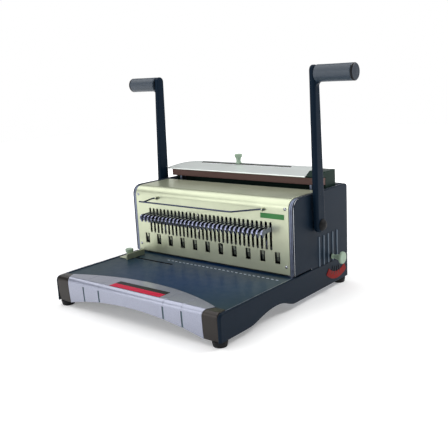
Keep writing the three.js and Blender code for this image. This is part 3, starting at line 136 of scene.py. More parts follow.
class BinderColours(bpy.types.PropertyGroup):
    """Base colours, one for each finish."""

    slate: colour("Slate", "0a2b50", "Powder coat of the work table")
    # Table edge is a painted reflection: the greyer colour toward the table's edges stands in for the
    # room reflected in it.
    table_edge_reflection: colour("Table edge", "1d323d", "Painted reflection toward the edges of the work table")
    navy_plastic: colour("Navy plastic", "0f1d2b", "Moulded side covers and skirts")
    navy_paint: colour("Navy paint", "0b1a28", "Stoved paint of the levers and the rear cover")
    silver: colour("Silver", "9599ab", "Lacquer of the front trim")
    bronze: colour("Bronze", "2c2826", "Lacquer of the corner caps")
    grip: colour("Grip", "303b47", "Sleeves of the grips")
    cream: colour("Cream", "bfc5ab", "Powder coat of the front panel")
    # Zinc also serves as a painted highlight along the top inner edge of the skirts.
    zinc: colour("Zinc", "70778a", "Zinc plated sheet")
    black_steel: colour("Black steel", "7c8097", "Blackened hooks")
    # Nickel also serves as a painted highlight along the front edge of the side covers.
    nickel: colour("Nickel", "a9adb2", "Plated wire and rod")
    tool_steel: colour("Tool steel", "6c6f73", "Ground punches and die")
    alloy: colour("Alloy", "e8eeec", "Brushed cover plate of the closer")
    brown: colour("Brown", "5f4a46", "Stoved paint of the pressing bar")
    green_black: colour("Green black", "1a2a25", "Stoved paint of the closer bed")
    pale: colour("Pale plastic", "93a794", "Moulded knobs")
    brass: colour("Brass", "b08d4a", "Turned bushes")
    # Rubber also stands in as painted shade: on the walls of the table slot and of the closer plate
    # slot, and in the seam of the side covers.
    rubber: colour("Rubber", "0c0d0f", "Moulded feet and caps")
    red: colour("Red film", "b8163a", "Red half of the label")
    black: colour("Black film", "0e0e10", "Black half of the label")
    green: colour("Green film", "3a7a42", "Name plate")
    wire: colour("Wire", "3d4358", "Darkened spring wire of the bail")
    dial: colour("Dial", "7d0d08", "Printed dial beside the margin knob")
    # Rib is a painted highlight: a lighter tone on the rib crests, in place of light catching them.
    rib: colour("Rib", "4c5a69", "Painted highlight on the crests of the ribs on the side covers")
    # Groove is painted shade: a darker tone on the walls and floors of the trim's grooves.
    groove: colour("Groove", "4d6068", "Painted shade in the grooves of the front trim")
    cap: colour("Cap", "202934", "End caps of the grips")
    # Tongue is painted shade: the dark grey of the cream tongues where they lean back into their
    # openings.
    tongue: colour("Tongue", "4a5048", "Painted shade on the tongues that lean back in the panel")
    white: colour("White ink", "d0dcf0", "Printed scale on the table")


class BinderSizes(bpy.types.PropertyGroup):
    """Small sizes of the visible pieces."""

    sheet_edge: length("Sheet edge", 0.3, "Rounding of cut sheet")
    cover_edge: length("Cover edge", 1.7, "Rounding of the side covers")
    skirt_edge: length("Skirt edge", 1.8, "Rounding of the skirts")
    skirt_front: length("Skirt front", 3.2, "Rounding of the front ends of the skirts")
    lever_edge: length("Lever edge", 3.8, "Rounding of the levers")
    lever_fillet: length("Lever fillet", 7.5, "Inside corner between a lever and its grip")
    grip_end: length("Grip end", 1.6, "Rounding at the ends of a grip")
    crease_width: length("Crease width", 0.9, "Fine lines over the top of the trim")
    crease_depth: length("Crease depth", 0.35, "Depth of those lines")
    screw_radius: length("Screw radius", 2.6, "Heads of the panel screws")
    screw_height: length("Screw height", 1.3, "Heads of the panel screws")
    flute_depth: length("Flute depth", 0.5, "Grooves round the knobs")
    bail_wire: length("Bail wire", 1.3, "Radius of the wire bail")
    mark_width: length("Mark width", 1.6, "Marks of the scale on the table")
    mark_length: length("Mark length", 4.4, "Marks of the scale on the table")


def sizes():
    return bpy.context.scene.binder_sizes


# Selecting, and the steps that every piece shares


def deselect():
    if bpy.context.object and bpy.context.object.mode != "OBJECT":
        bpy.ops.object.mode_set(mode="OBJECT")
    bpy.ops.object.select_all(action="DESELECT")


def choose(piece):
    deselect()
    piece.select_set(True)
    bpy.context.view_layer.objects.active = piece


def edit(piece, mode="VERT"):
    """Opens a piece in edit mode with nothing selected, and returns its mesh."""
    choose(piece)
    bpy.ops.object.mode_set(mode="EDIT")
    bpy.ops.mesh.select_mode(type=mode)
    bpy.ops.mesh.select_all(action="DESELECT")
    return bmesh.from_edit_mesh(piece.data)


def take_all():
    bpy.ops.mesh.select_all(action="SELECT")


def pick(piece, test, mode="FACE"):
    """Opens a piece and selects its faces, edges or corners that pass the test."""
    mesh = edit(piece, mode)
    elements = {"FACE": mesh.faces, "EDGE": mesh.edges, "VERT": mesh.verts}[mode]
    for element in elements:
        element.select_set(bool(test(element)))
    mesh.select_flush_mode()
    bmesh.update_edit_mesh(piece.data)


def close_edit():
    bpy.ops.object.mode_set(mode="OBJECT")


def middle(edge):
    return (edge.verts[0].co + edge.verts[1].co) / 2


def centre_of(face):
    return face.calc_center_median()


def is_wall(face):
    """True where a face looks to a side rather than up or down."""
    return abs(face.normal.z) < 0.9


def is_beside(edge, distance):
    """True where both ends of an edge lie this far to the right or left of the middle plane."""
    return all(abs(abs(v.co.x) - distance) < WELD for v in edge.verts)


def is_corner(edge, least=50):
    """True where two faces meet in an outer corner sharper than this many degrees."""
    outer = len(edge.link_faces) == 2 and edge.is_convex
    return outer and edge.calc_face_angle(0) > math.radians(least)


def from_side(point):
    """The place of a point seen from the side, in the plane X = 0."""
    return Vector((0, point.y, point.z))


def from_above(point):
    """The place of a point seen from above, on the desk."""
    return Vector((point.x, point.y, 0))


def box_middle(node):
    low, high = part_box(node)
    return (low + high) / 2


def inner_face(node):
    """How far from the middle plane the nearer face of a solid lies."""
    low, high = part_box(node)
    return min(abs(low.x), abs(high.x))


def round_edges(piece, width, segments=2, least=30):
    """Rounds every edge sharper than this many degrees."""
    choose(piece)
    bevel = piece.modifiers.new("Rounded edges", "BEVEL")
    bevel.width = width
    bevel.segments = segments
    bevel.limit_method = "ANGLE"
    bevel.angle_limit = math.radians(least)
    bevel.use_clamp_overlap = False
    bevel.harden_normals = False
    bpy.ops.object.modifier_apply(modifier=bevel.name)


def round_where(piece, width, test, segments=4):
    """Rounds only the edges that pass the test."""
    pick(piece, test, "EDGE")
    shape = {"offset_type": "OFFSET", "profile": 0.5, "affect": "EDGES"}
    bpy.ops.mesh.bevel(offset=width, segments=segments, **shape)
    close_edit()


def smooth(piece, angle=35):
    choose(piece)
    bpy.ops.object.shade_smooth_by_angle(angle=math.radians(angle))
    weighted = piece.modifiers.new("Even shading", "WEIGHTED_NORMAL")
    weighted.keep_sharp = True
    bpy.ops.object.modifier_apply(modifier=weighted.name)


def finish_piece(piece, body, slot, nodes=(), angle=35, look=None, paints=()):
    """Ends a piece: smooth shading, its finishes, its body and the solids that it stands for."""
    smooth(piece, angle)
    piece.data.materials.clear()
    piece.data.materials.append(MATERIALS[look or slot])
    for index, (other, test) in enumerate(paints, 1):
        piece.data.materials.append(MATERIALS[other])
        pick(piece, test)
        piece.active_material_index = index
        bpy.ops.object.material_slot_assign()
        close_edit()
    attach(piece, body)
    if nodes:
        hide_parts(*nodes)
    return piece


def copied(node, name):
    """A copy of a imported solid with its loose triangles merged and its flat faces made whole."""
    deselect()
    piece = frame["nodes"][node].copy()
    piece.data = piece.data.copy()
    piece.name = piece.data.name = name
    piece.parent = None
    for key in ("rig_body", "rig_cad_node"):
        del piece[key]
    bpy.context.scene.collection.objects.link(piece)
    edit(piece)
    take_all()
    bpy.ops.mesh.remove_doubles(threshold=WELD)
    bpy.ops.mesh.dissolve_limited(angle_limit=FLAT)
    close_edit()
    return piece


def refined(node, edge, segments=2, angle=35, shaped=None, paints=(), look=None):
    """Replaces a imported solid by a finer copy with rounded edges."""
    piece = copied(node, node + "_fine")
    if shaped:
        shaped(piece)
    round_edges(piece, edge, segments)
    return finish_piece(piece, BODY_OF[node], SLOT_OF[node], [node], angle, look, paints)


def again(piece, name, shift):
    """A copy of a piece with its own mesh, moved by a vector."""
    choose(piece)
    bpy.ops.object.duplicate(linked=False)
    made = bpy.context.object
    made.name = made.data.name = name
    edit(made)
    take_all()
    bpy.ops.transform.translate(value=shift)
    close_edit()
    return made


def repeated(first, places):
    """A piece and its copies, one for each of these named places. It stands at the first."""
    start, *others = places
    return [first] + [again(first, name, places[name] - places[start]) for name in others]


def drawn(name, points):
    """A chain of edges, drawn by extruding one corner from point to point."""
    deselect()
    bpy.ops.mesh.primitive_plane_add(size=1, location=(0, 0, 0))
    piece = bpy.context.object
    piece.name = piece.data.name = name
    bpy.ops.object.mode_set(mode="EDIT")
    bpy.ops.mesh.select_mode(type="VERT")
    take_all()
    bpy.ops.mesh.merge(type="CENTER")
    bpy.ops.transform.translate(value=points[0])
    for start, end in zip(points, points[1:]):
        step = {"value": Vector(end) - Vector(start)}
        bpy.ops.mesh.extrude_vertices_move(TRANSFORM_OT_translate=step)
    take_all()
    return piece


def turned(name, profile, centre, axis, steps=48):
    """A turned piece: pairs of distance along the axis and radius, spun all round."""
    out = Z if abs(axis.z) < 0.5 else X
    piece = drawn(name, [centre + axis * along + out * radius for along, radius in profile])
    bpy.ops.mesh.spin(steps=steps, angle=2 * math.pi, center=centre, axis=axis)
    take_all()
    bpy.ops.mesh.remove_doubles(threshold=WELD)
    bpy.ops.mesh.normals_make_consistent(inside=False)
    close_edit()
    return piece


def outlined(name, points, thickness):
    """A flat outline, closed to a face and drawn out by a vector."""
    piece = drawn(name, points)
    bpy.ops.mesh.edge_face_add()
    bpy.ops.mesh.extrude_region_move(TRANSFORM_OT_translate={"value": thickness})
    take_all()
    bpy.ops.mesh.normals_make_consistent(inside=False)
    close_edit()
    return piece


def bar(name, low, high):
    """A block between two corners."""
    deselect()
    bpy.ops.mesh.primitive_cube_add(size=1, location=(0, 0, 0))
    piece = bpy.context.object
    piece.name = piece.data.name = name
    bpy.ops.object.mode_set(mode="EDIT")
    bpy.ops.transform.resize(value=Vector(high) - Vector(low))
    bpy.ops.transform.translate(value=(Vector(low) + Vector(high)) / 2)
    close_edit()
    return piece


def joined(name, pieces):
    deselect()
    for piece in pieces:
        piece.select_set(True)
    bpy.context.view_layer.objects.active = pieces[0]
    bpy.ops.object.join()
    pieces[0].name = pieces[0].data.name = name
    return pieces[0]


def sunk(piece, test, depth):
    """Presses the faces that pass the test into the piece."""
    pick(piece, test)
    bpy.ops.mesh.inset(thickness=0, depth=-depth, use_even_offset=True)
    close_edit()


def split_at(piece, place, axis):
    """Cuts every face that crosses a plane, without opening the piece."""
    edit(piece)
    take_all()
    bpy.ops.mesh.bisect(plane_co=place, plane_no=axis)
    close_edit()


def split_band(piece, place, half, axis):
    """Cuts a piece along both edges of a band that lies square to an axis."""
    for side in (-1, 1):
        split_at(piece, place + axis * half * side, axis)


def arc(centre, radius, start, end, steps):
    """Points of an arc, as pairs, with its angles in degrees."""
    angles = [math.radians(start + (end - start) * i / steps) for i in range(steps + 1)]
    return [(centre[0] + radius * math.cos(a), centre[1] + radius * math.sin(a)) for a in angles]


def domed(centre, rise, radius, degrees):
    """Points of a dome, as pairs, at these angles from its foot to its crown."""
    angles = [math.radians(angle) for angle in degrees]
    return [(centre[0] + rise * math.sin(a), centre[1] + radius * math.cos(a)) for a in angles]


# Finishes


def add_node(tree, kind, values=None, links=None, **settings):
    """Adds a node with its own settings, its socket values and its incoming links."""
    node = tree.nodes.new(kind)
    for key, value in settings.items():
        setattr(node, key, value)
    for key, value in (values or {}).items():
        node.inputs[key].default_value = value
    for key, socket in (links or {}).items():
        tree.links.new(socket, node.inputs[key])
    return node


class Finish:
    """A material under way: its shader, and patterns on object coordinates in metres."""

    def __init__(self, name, tone, roughness, **values):
        self.material = bpy.data.materials.new(name)
        self.material.use_nodes = True
        self.tree = self.material.node_tree
        self.shader = self.tree.nodes["Principled BSDF"]
        self.tone = (*tone, 1)
        self.roughness = roughness
        self.shader.inputs["Base Color"].default_value = self.tone
        self.shader.inputs["Roughness"].default_value = roughness
        for key, value in values.items():
            self.shader.inputs[key.replace("_", " ")].default_value = value
        self.place = add_node(self.tree, "ShaderNodeTexCoord").outputs["Object"]
        self.material.diffuse_color = self.tone

    def pattern(self, size, stretch=(1, 1, 1), detail=2, kind="ShaderNodeTexNoise", output=0):
        """A noise or cell pattern whose grain is this large, drawn out along an axis by stretch."""
        scale = {"Scale": [1 / (size * s) for s in stretch]}
        place = add_node(self.tree, "ShaderNodeMapping", scale, {"Vector": self.place})
        values = {"Scale": 1}
        if kind == "ShaderNodeTexNoise":
            values["Detail"] = detail
        return add_node(self.tree, kind, values, {"Vector": place.outputs[0]}).outputs[output]

    def crystals(self, size):
        """Crystals or flakes this large, each in a grey of its own."""
        tones = self.pattern(size, kind="ShaderNodeTexVoronoi", output="Color")
        return add_node(self.tree, "ShaderNodeRGBToBW", None, {"Color": tones}).outputs[0]

    def between(self, source, low, high, start=0.3, end=0.7):
        """Turns a pattern that runs from start to end into values from low to high."""
        values = {"From Min": start, "From Max": end, "To Min": low, "To Max": high}
        return add_node(self.tree, "ShaderNodeMapRange", values, {"Value": source}).outputs[0]

    def vary_tone(self, source, amount):
        """Makes the colour darker and lighter by this share."""
        links = {"Value": self.between(source, 1 - amount, 1 + amount)}
        node = add_node(self.tree, "ShaderNodeHueSaturation", {"Color": self.tone}, links)
        self.tree.links.new(node.outputs[0], self.shader.inputs["Base Color"])
        return node

    def fade(self, varied, reflection_tone):
        """Painted reflection: lets another colour take over from the middle of the work table out to
        its edges, in place of the room reflected in the coat.
        """
        inner, outer = 50 * MM, 175 * MM
        values, place = {1: (25 * MM, -40 * MM, 48 * MM)}, {0: self.place}
        out = add_node(self.tree, "ShaderNodeVectorMath", values, place, operation="DISTANCE")
        share = self.between(out.outputs["Value"], 0, 1, inner, outer)
        mixed = add_node(self.tree, "ShaderNodeMix", None, {"Factor": share}, data_type="RGBA")
        ends = {"A": self.tone, "B": (*reflection_tone, 1)}
        for socket in mixed.inputs:
            if socket.type == "RGBA" and socket.name in ends:
                socket.default_value = ends[socket.name]
        result = next(socket for socket in mixed.outputs if socket.type == "RGBA")
        self.tree.links.new(result, varied.inputs["Color"])

    def vary_gloss(self, source, amount):
        """Makes the roughness lower and higher by this amount. No range holds 0.27, where
        reflections turn sharp."""
        value = self.between(source, self.roughness - amount, self.roughness + amount)
        self.tree.links.new(value, self.shader.inputs["Roughness"])

    def relief(self, source, depth, strength):
        """Lets a pattern dent the surface, to this depth and at this share of its effect."""
        values = {"Strength": strength, "Distance": depth}
        bump = add_node(self.tree, "ShaderNodeBump", values, {"Height": source})
        self.tree.links.new(bump.outputs[0], self.shader.inputs["Normal"])


def powder_coat(name, tone, roughness, metallic=0, specular=0.5, reflection_tone=None):
    """Polyester powder stoved on steel sheet: satin, with the soft orange peel of the melted
    grains. The peel is drawn at twice its real size of 0.8 mm, so that it shows."""
    made = Finish(name, tone, roughness, Metallic=metallic, IOR=1.5, Specular_IOR_Level=specular)
    made.relief(made.pattern(1.6 * MM, detail=1), depth=0.05 * MM, strength=0.05)
    varied = made.vary_tone(made.pattern(45 * MM), amount=0.05)
    made.vary_gloss(made.pattern(12 * MM), amount=0.03)
    # With a reflection tone, the coat gets a painted reflection that grows toward the edges of the
    # table.
    if reflection_tone:
        made.fade(varied, reflection_tone)
    return made.material


def moulded_abs(name, tone, roughness, grain=0.9 * MM, depth=0.03 * MM, specular=0.2, gloss=0.05):
    """ABS, soft PVC or rubber from a spark eroded mould: matt, with a fine even grain and a
    slightly cloudy gloss."""
    made = Finish(name, tone, roughness, IOR=1.53, Specular_IOR_Level=specular)
    grains = made.pattern(grain, detail=3)
    made.relief(grains, depth, strength=0.6)
    made.vary_tone(made.pattern(60 * MM), amount=0.06)
    made.vary_gloss(grains, gloss)
    return made.material


def flake_lacquer(name, tone, metallic, coat):
    """Metallic lacquer on a moulding: aluminium flakes under a clear coat.
    The flakes are drawn at ten times their real 0.07 mm, so that their sparkle shows."""
    made = Finish(name, tone, 0.34, Metallic=metallic, Coat_Weight=coat, Coat_Roughness=0.15)
    made.vary_tone(made.crystals(0.7 * MM), amount=0.06)
    made.vary_gloss(made.pattern(25 * MM), amount=0.05)
    return made.material


def stoved_enamel(name, tone, roughness=0.36):
    """Alkyd enamel dipped and stoved on steel: smooth and glossy, with slight sags."""
    made = Finish(name, tone, roughness, IOR=1.5, Specular_IOR_Level=0.05)
    made.relief(made.pattern(9 * MM, detail=1), depth=0.08 * MM, strength=0.35)
    made.vary_tone(made.pattern(50 * MM), amount=0.05)
    made.vary_gloss(made.pattern(15 * MM), amount=0.05)
    return made.material


def lined_metal(name, tone, roughness, stretch, width=0.5 * MM, metallic=1):
    """Metal with the fine lines of brushing, grinding or turning, long along one axis.
    The lines are drawn three times as wide as the grit cuts them, so that they show."""
    made = Finish(name, tone, roughness, Metallic=metallic)
    lines = made.pattern(width, stretch, detail=3)
    made.vary_tone(lines, amount=0.05)
    made.vary_gloss(lines, amount=0.05)
    made.relief(lines, depth=0.003 * MM, strength=0.25)
    return made.material


def zinc_plate(name, tone):
    """Hot dipped zinc on steel sheet: dull metal with crystals of spangle about 6 mm wide."""
    made = Finish(name, tone, 0.38, Metallic=0.9)
    spangle = made.crystals(6 * MM)
    made.vary_tone(spangle, amount=0.1)
    made.vary_gloss(spangle, amount=0.06)
    return made.material


def printed_film(name, tone, specular=0.3):
    """Screen printed vinyl film: even colour, satin, with the faint ripple of its glue."""
    made = Finish(name, tone, 0.45, IOR=1.46, Specular_IOR_Level=specular)
    made.relief(made.pattern(5 * MM, detail=1), depth=0.04 * MM, strength=0.3)
    made.vary_tone(made.pattern(3 * MM, detail=4), amount=0.04)
    return made.material


def make_finishes():
    """One material for each slot of the record and for each further finish of the pieces."""
    tones = bpy.context.scene.binder_colours
    # The slate coat carries a painted reflection toward the edges of the table.
    slate = powder_coat("slate_powder_coat", tones.slate, 0.34, 0, 0.12, tones.table_edge_reflection)
    sleeve = moulded_abs("grip_pvc_sleeve", tones.grip, 0.4, 1.2 * MM, 0.001 * MM, 0.4, 0.01)
    MATERIALS.update(
        slate_paint=slate,
        dark_plastic=moulded_abs("navy_moulded_abs", tones.navy_plastic, 0.42, specular=0.08),
        dark_paint=stoved_enamel("navy_stoved_enamel", tones.navy_paint),
        silver_plastic=flake_lacquer("silver_flake_lacquer", tones.silver, 0.65, 0.8),
        bronze_paint=flake_lacquer("bronze_flake_lacquer", tones.bronze, 0.9, 0.3),
        grip_plastic=sleeve,
        cream_paint=powder_coat("cream_pearl_powder_coat", tones.cream, 0.33, metallic=0.75),
        grey_steel=zinc_plate("zinc_plated_steel", tones.zinc),
        black_steel=lined_metal("polished_hook_steel", tones.black_steel, 0.16, (1, 12, 1)),
        bright_steel=lined_metal("nickel_plated_steel", tones.nickel, 0.2, (20, 1, 1)),
        tool_steel=lined_metal("ground_tool_steel", tones.tool_steel, 0.36, (1, 1, 30)),
        brushed_alloy=lined_metal("brushed_aluminium", tones.alloy, 0.33, (60, 1, 1), 0.8 * MM, 0.55),
        brown_paint=stoved_enamel("brown_stoved_enamel", tones.brown, 0.38),
        green_black_paint=stoved_enamel("green_black_stoved_enamel", tones.green_black),
        pale_plastic=moulded_abs("pale_moulded_acetal", tones.pale, 0.36, 1.2 * MM, 0.01 * MM),
        brass=lined_metal("turned_brass", tones.brass, 0.36, (1, 8, 8)),
        rubber=moulded_abs("moulded_rubber", tones.rubber, 0.6, 0.7 * MM, 0.04 * MM),
        red_vinyl=printed_film("red_vinyl_film", tones.red, 0.15),
        black_vinyl=printed_film("black_vinyl_film", tones.black),
        green_vinyl=printed_film("green_vinyl_film", tones.green),
        scale_ink=printed_film("scale_ink", tones.white),
        dark_wire=lined_metal("darkened_spring_wire", tones.wire, 0.2, (20, 1, 1)),
        # Painted shade for the lower parts of the leaning tongues and the sides of their openings.
        shaded_cream=moulded_abs("painted_tongue_shade", tones.tongue, 0.6),
        dial_film=printed_film("dial_vinyl_film", tones.dial, 0.1),
        # Painted highlight on the crests of the ribs of the side covers.
        rib_plastic=moulded_abs("painted_rib_highlight_abs", tones.rib, 0.35),
        cap_plastic=moulded_abs("grip_cap_pvc", tones.cap, 0.4),
        # Painted shade for the grooves of the front trim.
        groove_lacquer=moulded_abs("painted_groove_shade_abs", tones.groove, 0.5),
    )
    for node, piece in frame["nodes"].items():
        piece.data.materials.clear()
        piece.data.materials.append(MATERIALS[SLOT_OF[node]])


# Base


def table_top():
    """The folded sheet, with painted shade on the walls inside the slot of the paper guide."""
    slot_row, slot_end, half = -27 * MM, -46 * MM, 3 * MM

    def in_slot(face):
        centre = centre_of(face)
        return is_wall(face) and abs(centre.y - slot_row) < half and centre.x < slot_end

    # The walls of the guide slot are painted dark rubber as painted shade.
    refined("table", sizes().sheet_edge, paints=[("rubber", in_slot)])


def table_scale():
    """Printed marks across the table in front of the panel, one for each hole."""
    pitch, ink = 8.467 * MM, 0.08 * MM
    first, last, row = -70.4 * MM, 157 * MM, -11 * MM
    across, along = sizes().mark_width / 2, sizes().mark_length / 2
    place = Vector((first, row, TABLE_FACE))
    marks = [bar("mark", place - Vector((along, across, 0)), place + Vector((along, across, ink)))]
    round_edges(marks[0], width=ink / 3, segments=1)
    for i in range(1, int((last - first) / pitch) + 1):
        marks.append(again(marks[0], "mark", X * pitch * i))
    finish_piece(joined("table_scale", marks), "frame", "scale_ink")


def bow(height):
    """How far the front face of the trim has fallen back at this height."""
    return BOW_DEPTH * ((BEND_FOOT - height) / (BEND_FOOT - TRIM_FOOT)) ** 2


def bowed(piece):
    """Bows the front face of a moulding: from the bend down it falls back ever more."""
    cuts, step, wall = 7, 4 * MM, 3 * MM
    for i in range(1, cuts + 1):
        split_at(piece, Z * (BEND_FOOT - i * step), Z)
    mesh = edit(piece)
    for vertex in mesh.verts:
        if vertex.co.y < TRIM_FACE + wall and vertex.co.z < BEND_FOOT:
            vertex.co.y += bow(vertex.co.z)
    bmesh.update_edit_mesh(piece.data)
    close_edit()


def front_trim():
    """The silver moulding, with fine creases over its top where its four grooves end, and painted
    shade in those grooves.
    """
    inner, outer = 67 * MM, 102 * MM
    half_crease, half_groove = sizes().crease_width / 2, 1.6 * MM
    shallow, deep, groove_top = 0.4 * MM, 2 * MM, 41.5 * MM

    def in_crease(face, place):
        return abs(centre_of(face).x - place) < half_crease and face.normal.z > 0.25

    def creased(piece):
        for place in (-outer, -inner, inner, outer):
            split_band(piece, X * place, half_crease, X)
            sunk(piece, lambda f: in_crease(f, place), sizes().crease_depth)
        bowed(piece)

    def in_groove(face):
        centre = centre_of(face)
        sunken = shallow < centre.y - TRIM_FACE - bow(centre.z) < deep and centre.z < groove_top
        return sunken and any(abs(abs(centre.x) - x) < half_groove for x in (inner, outer))

    # Painted shade: the walls and floors of the four grooves take a darker tone.
    paints = [("groove_lacquer", in_groove)]
    refined("front_trim", edge=0.25 * MM, angle=30, shaped=creased, paints=paints)
    for word in ("red", "black"):
        refined(word + "_strip", edge=0.15 * MM)


def corner_caps():
    """The two caps, bowed as the trim between them is."""
    for word in SIDES:
        refined("corner_cap_" + word, edge=0.9 * MM, segments=3, shaped=bowed)


def skirts():
    """Side skirts with a soft outer edge all round, and a painted highlight in grey along their top
    inner edge beside the table.
    """
    low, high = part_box("side_skirt_right")
    front, foot = low.y + 12 * MM, 20 * MM
    highlight_reach, highlight_start, highlight_level = low.x + 1.6 * MM, low.y + 16 * MM, 40 * MM

    def on_outline(element):
        return is_beside(element, high.x) and is_corner(element)

    def at_front(element):
        place = middle(element)
        return on_outline(element) and place.y < front and place.z > foot

    def softened(piece):
        round_where(piece, sizes().skirt_front, at_front, 5)
        round_where(piece, sizes().skirt_edge, on_outline)
        split_band(piece, Vector(), highlight_reach, X)
        for place in (highlight_start, PANEL_FACE):
            split_at(piece, Y * place, Y)

    def on_top_highlight(face):
        centre = centre_of(face)
        on_top = face.normal.z > 0.6 and abs(centre.x) < highlight_reach and centre.z > highlight_level
        return on_top and highlight_start < centre.y < PANEL_FACE

    # Painted highlight: the grey band on the top inner edge of each skirt stands in for light
    # catching it.
    paints = [("grey_steel", on_top_highlight)]
    for word in SIDES:
        refined("side_skirt_" + word, edge=0.3 * MM, shaped=softened, paints=paints)


def feet():
    """Rubber feet with a rounded foot, a waist and a flange against the base."""
    nodes = [f"foot_{end}_{word}" for end in ("front", "rear") for word in SIDES]
    places = {node + "_fine": box_middle(node) for node in nodes}
    low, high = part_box(nodes[0])
    radius, height = (high.x - low.x) / 2, high.z
    hollow, lip = 0.6 * MM, 1.5 * MM
    profile = [(0, 0), (0, radius * 0.45), (hollow, radius * 0.5), (hollow, radius * 0.62)]
    profile += [(0, radius * 0.68), *arc((lip, radius * 0.9 - lip), lip, -180, -270, 5)]
    profile += [(height * 0.6, radius * 0.97), (height * 0.72, radius)]
    profile += [(height, radius), (height, 0)]
    first = turned(nodes[0] + "_fine", profile, from_above(box_middle(nodes[0])), Z)
    for node, piece in zip(nodes, repeated(first, places)):
        finish_piece(piece, "frame", "rubber", [node])


# Housing


def corners(name, half, depth, levels):
    """Four named places, right and left at each level."""
    return {
        f"{name}_{level}_{word}": Vector((side * half, depth, height))
        for level, height in levels.items()
        for word, side in SIDES.items()
    }


def screws(places, out):
    """Pan head screws with a slot, standing out from a face at these named places."""
    radius, height = sizes().screw_radius, sizes().screw_height
    slot_half, slot_depth = 0.35 * MM, 0.5 * MM
    name, place = next(iter(places.items()))
    profile = [(0, 0), (0, radius), *domed((0, 0), height, radius, (12, 30, 50, 70, 90))]
    first = turned(name, profile, place, out, 24)
    split_band(first, place, slot_half, Z)

    def in_slot(face):
        return abs(centre_of(face).z - place.z) < slot_half and face.normal.dot(out) > 0.4

    sunk(first, in_slot, slot_depth)
    round_edges(first, width=0.08 * MM, segments=1, least=40)
    for piece in repeated(first, places):
        finish_piece(piece, "frame", "bright_steel", angle=40)


def front_panel():
    """The panel with the tongues in its openings, their lower parts and the sides of the openings
    darkened as painted shade, the name plate and four screws.
    """
    tongue_shade_top, half_row = 77.5 * MM, 150 * MM
    screws_across, levels = 154 * MM, {"top": 152 * MM, "bottom": 63.5 * MM}

    def on_tongue(face):
        """The tongues lean back: they are the only flat faces low on the panel that look
        slightly down or up."""
        centre, normal = centre_of(face), face.normal
        leaning = 0.02 < abs(normal.z) < 0.5
        beside = abs(normal.x) > 0.5 and centre.y > PANEL_SHEET
        low = centre.z < tongue_shade_top and abs(centre.x) < half_row
        return low and (leaning or beside)

    def cut_tongues(piece):
        split_at(piece, Z * tongue_shade_top, Z)

    # Painted shade: below this height the leaning tongues and the sides of their openings turn dark
    # grey.
    paints = [("shaded_cream", on_tongue)]
    refined("front_panel", sizes().sheet_edge, shaped=cut_tongues, paints=paints)
    refined("name_plate", edge=0.25 * MM)
    screws(corners("panel_screw", screws_across, PANEL_FACE, levels), -Y)


def side_covers():
    """Side covers with a wide rounding round their outer face, a seam painted dark as its painted
    shade, a bright line beside it as a painted highlight, and softer ribs whose crests carry a
    painted highlight.
    """
    shafts = [from_side(PIVOT[joint]) for joint, side in LEVERS.values()]
    boss, front, top, proud = 13 * MM, 60 * MM, 100 * MM, 0.1 * MM
    seam, seam_end, rim_highlight_end, seam_depth = 165.7 * MM, 167.2 * MM, 168.4 * MM, 0.7 * MM

    def on_outline(element):
        clear = all((from_side(middle(element)) - shaft).length > boss for shaft in shafts)
        return clear and is_beside(element, COVER_FACE) and is_corner(element, 40)

    def on_rim(face, low, high):
        """True down the front and over the top of a cover, between two planes."""
        centre, normal = centre_of(face), face.normal
        in_front = normal.y < -0.3 and centre.y < front
        above = normal.z > 0.3 and centre.z > top
        return low < abs(centre.x) < high and abs(normal.x) < 0.7 and (in_front or above)

    def seamed(piece):
        for side in SIDES.values():
            for place in (seam, seam_end):
                split_at(piece, X * side * place, X)
        sunk(piece, lambda f: on_rim(f, seam, seam_end), seam_depth)
        round_where(piece, sizes().cover_edge, on_outline, 5)

    # Faces that stand proud of the cover, low down: the rib crests, which take a painted highlight.
    def on_rib_crest_highlight(face):
        centre = centre_of(face)
        return abs(centre.x) > COVER_FACE + proud and centre.z < top

    # Rim paints: the grey band is the colour of the steel flange. The seam is a real sunk groove
    # painted dark as painted shade. The bright band beside it is a painted highlight along the
    # cover's front edge. The rib crests carry a painted highlight.
    paints = [
        ("grey_steel", lambda f: on_rim(f, 0, seam + proud)),
        ("rubber", lambda f: on_rim(f, seam + proud, seam_end)),
        ("bright_steel", lambda f: on_rim(f, seam_end, rim_highlight_end)),
        ("rib_plastic", on_rib_crest_highlight),
    ]
    for word in SIDES:
        refined("side_cover_" + word, edge=0.3 * MM, shaped=seamed, paints=paints)
        refined("side_frame_" + word, edge=0.3 * MM)
    refined("margin_dial", edge=0.15 * MM, look="dial_film")


def dial_lines():
    """Plain dark lines that lead from the margin knob over the dial."""
    centre = Vector((COVER_FACE, 134.7 * MM, 68.8 * MM))
    start, end, half, film = 33 * MM, 47 * MM, 0.8 * MM, 0.15 * MM
    thickness = X * (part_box("margin_dial")[1].x + film - COVER_FACE)
    lines = []
    for turn in (-24, -13, -2, 9):
        down = Vector((0, math.sin(math.radians(turn)), -math.cos(math.radians(turn))))
        aside = X.cross(down) * half
        ends = [(start, -1), (end, -1), (end, 1), (start, 1)]
        points = [centre + down * along + aside * side for along, side in ends]
        lines.append(outlined("line", points, thickness))
    piece = joined("dial_lines", lines)
    round_edges(piece, width=0.1 * MM, segments=1)
    finish_piece(piece, "frame", "black_vinyl")


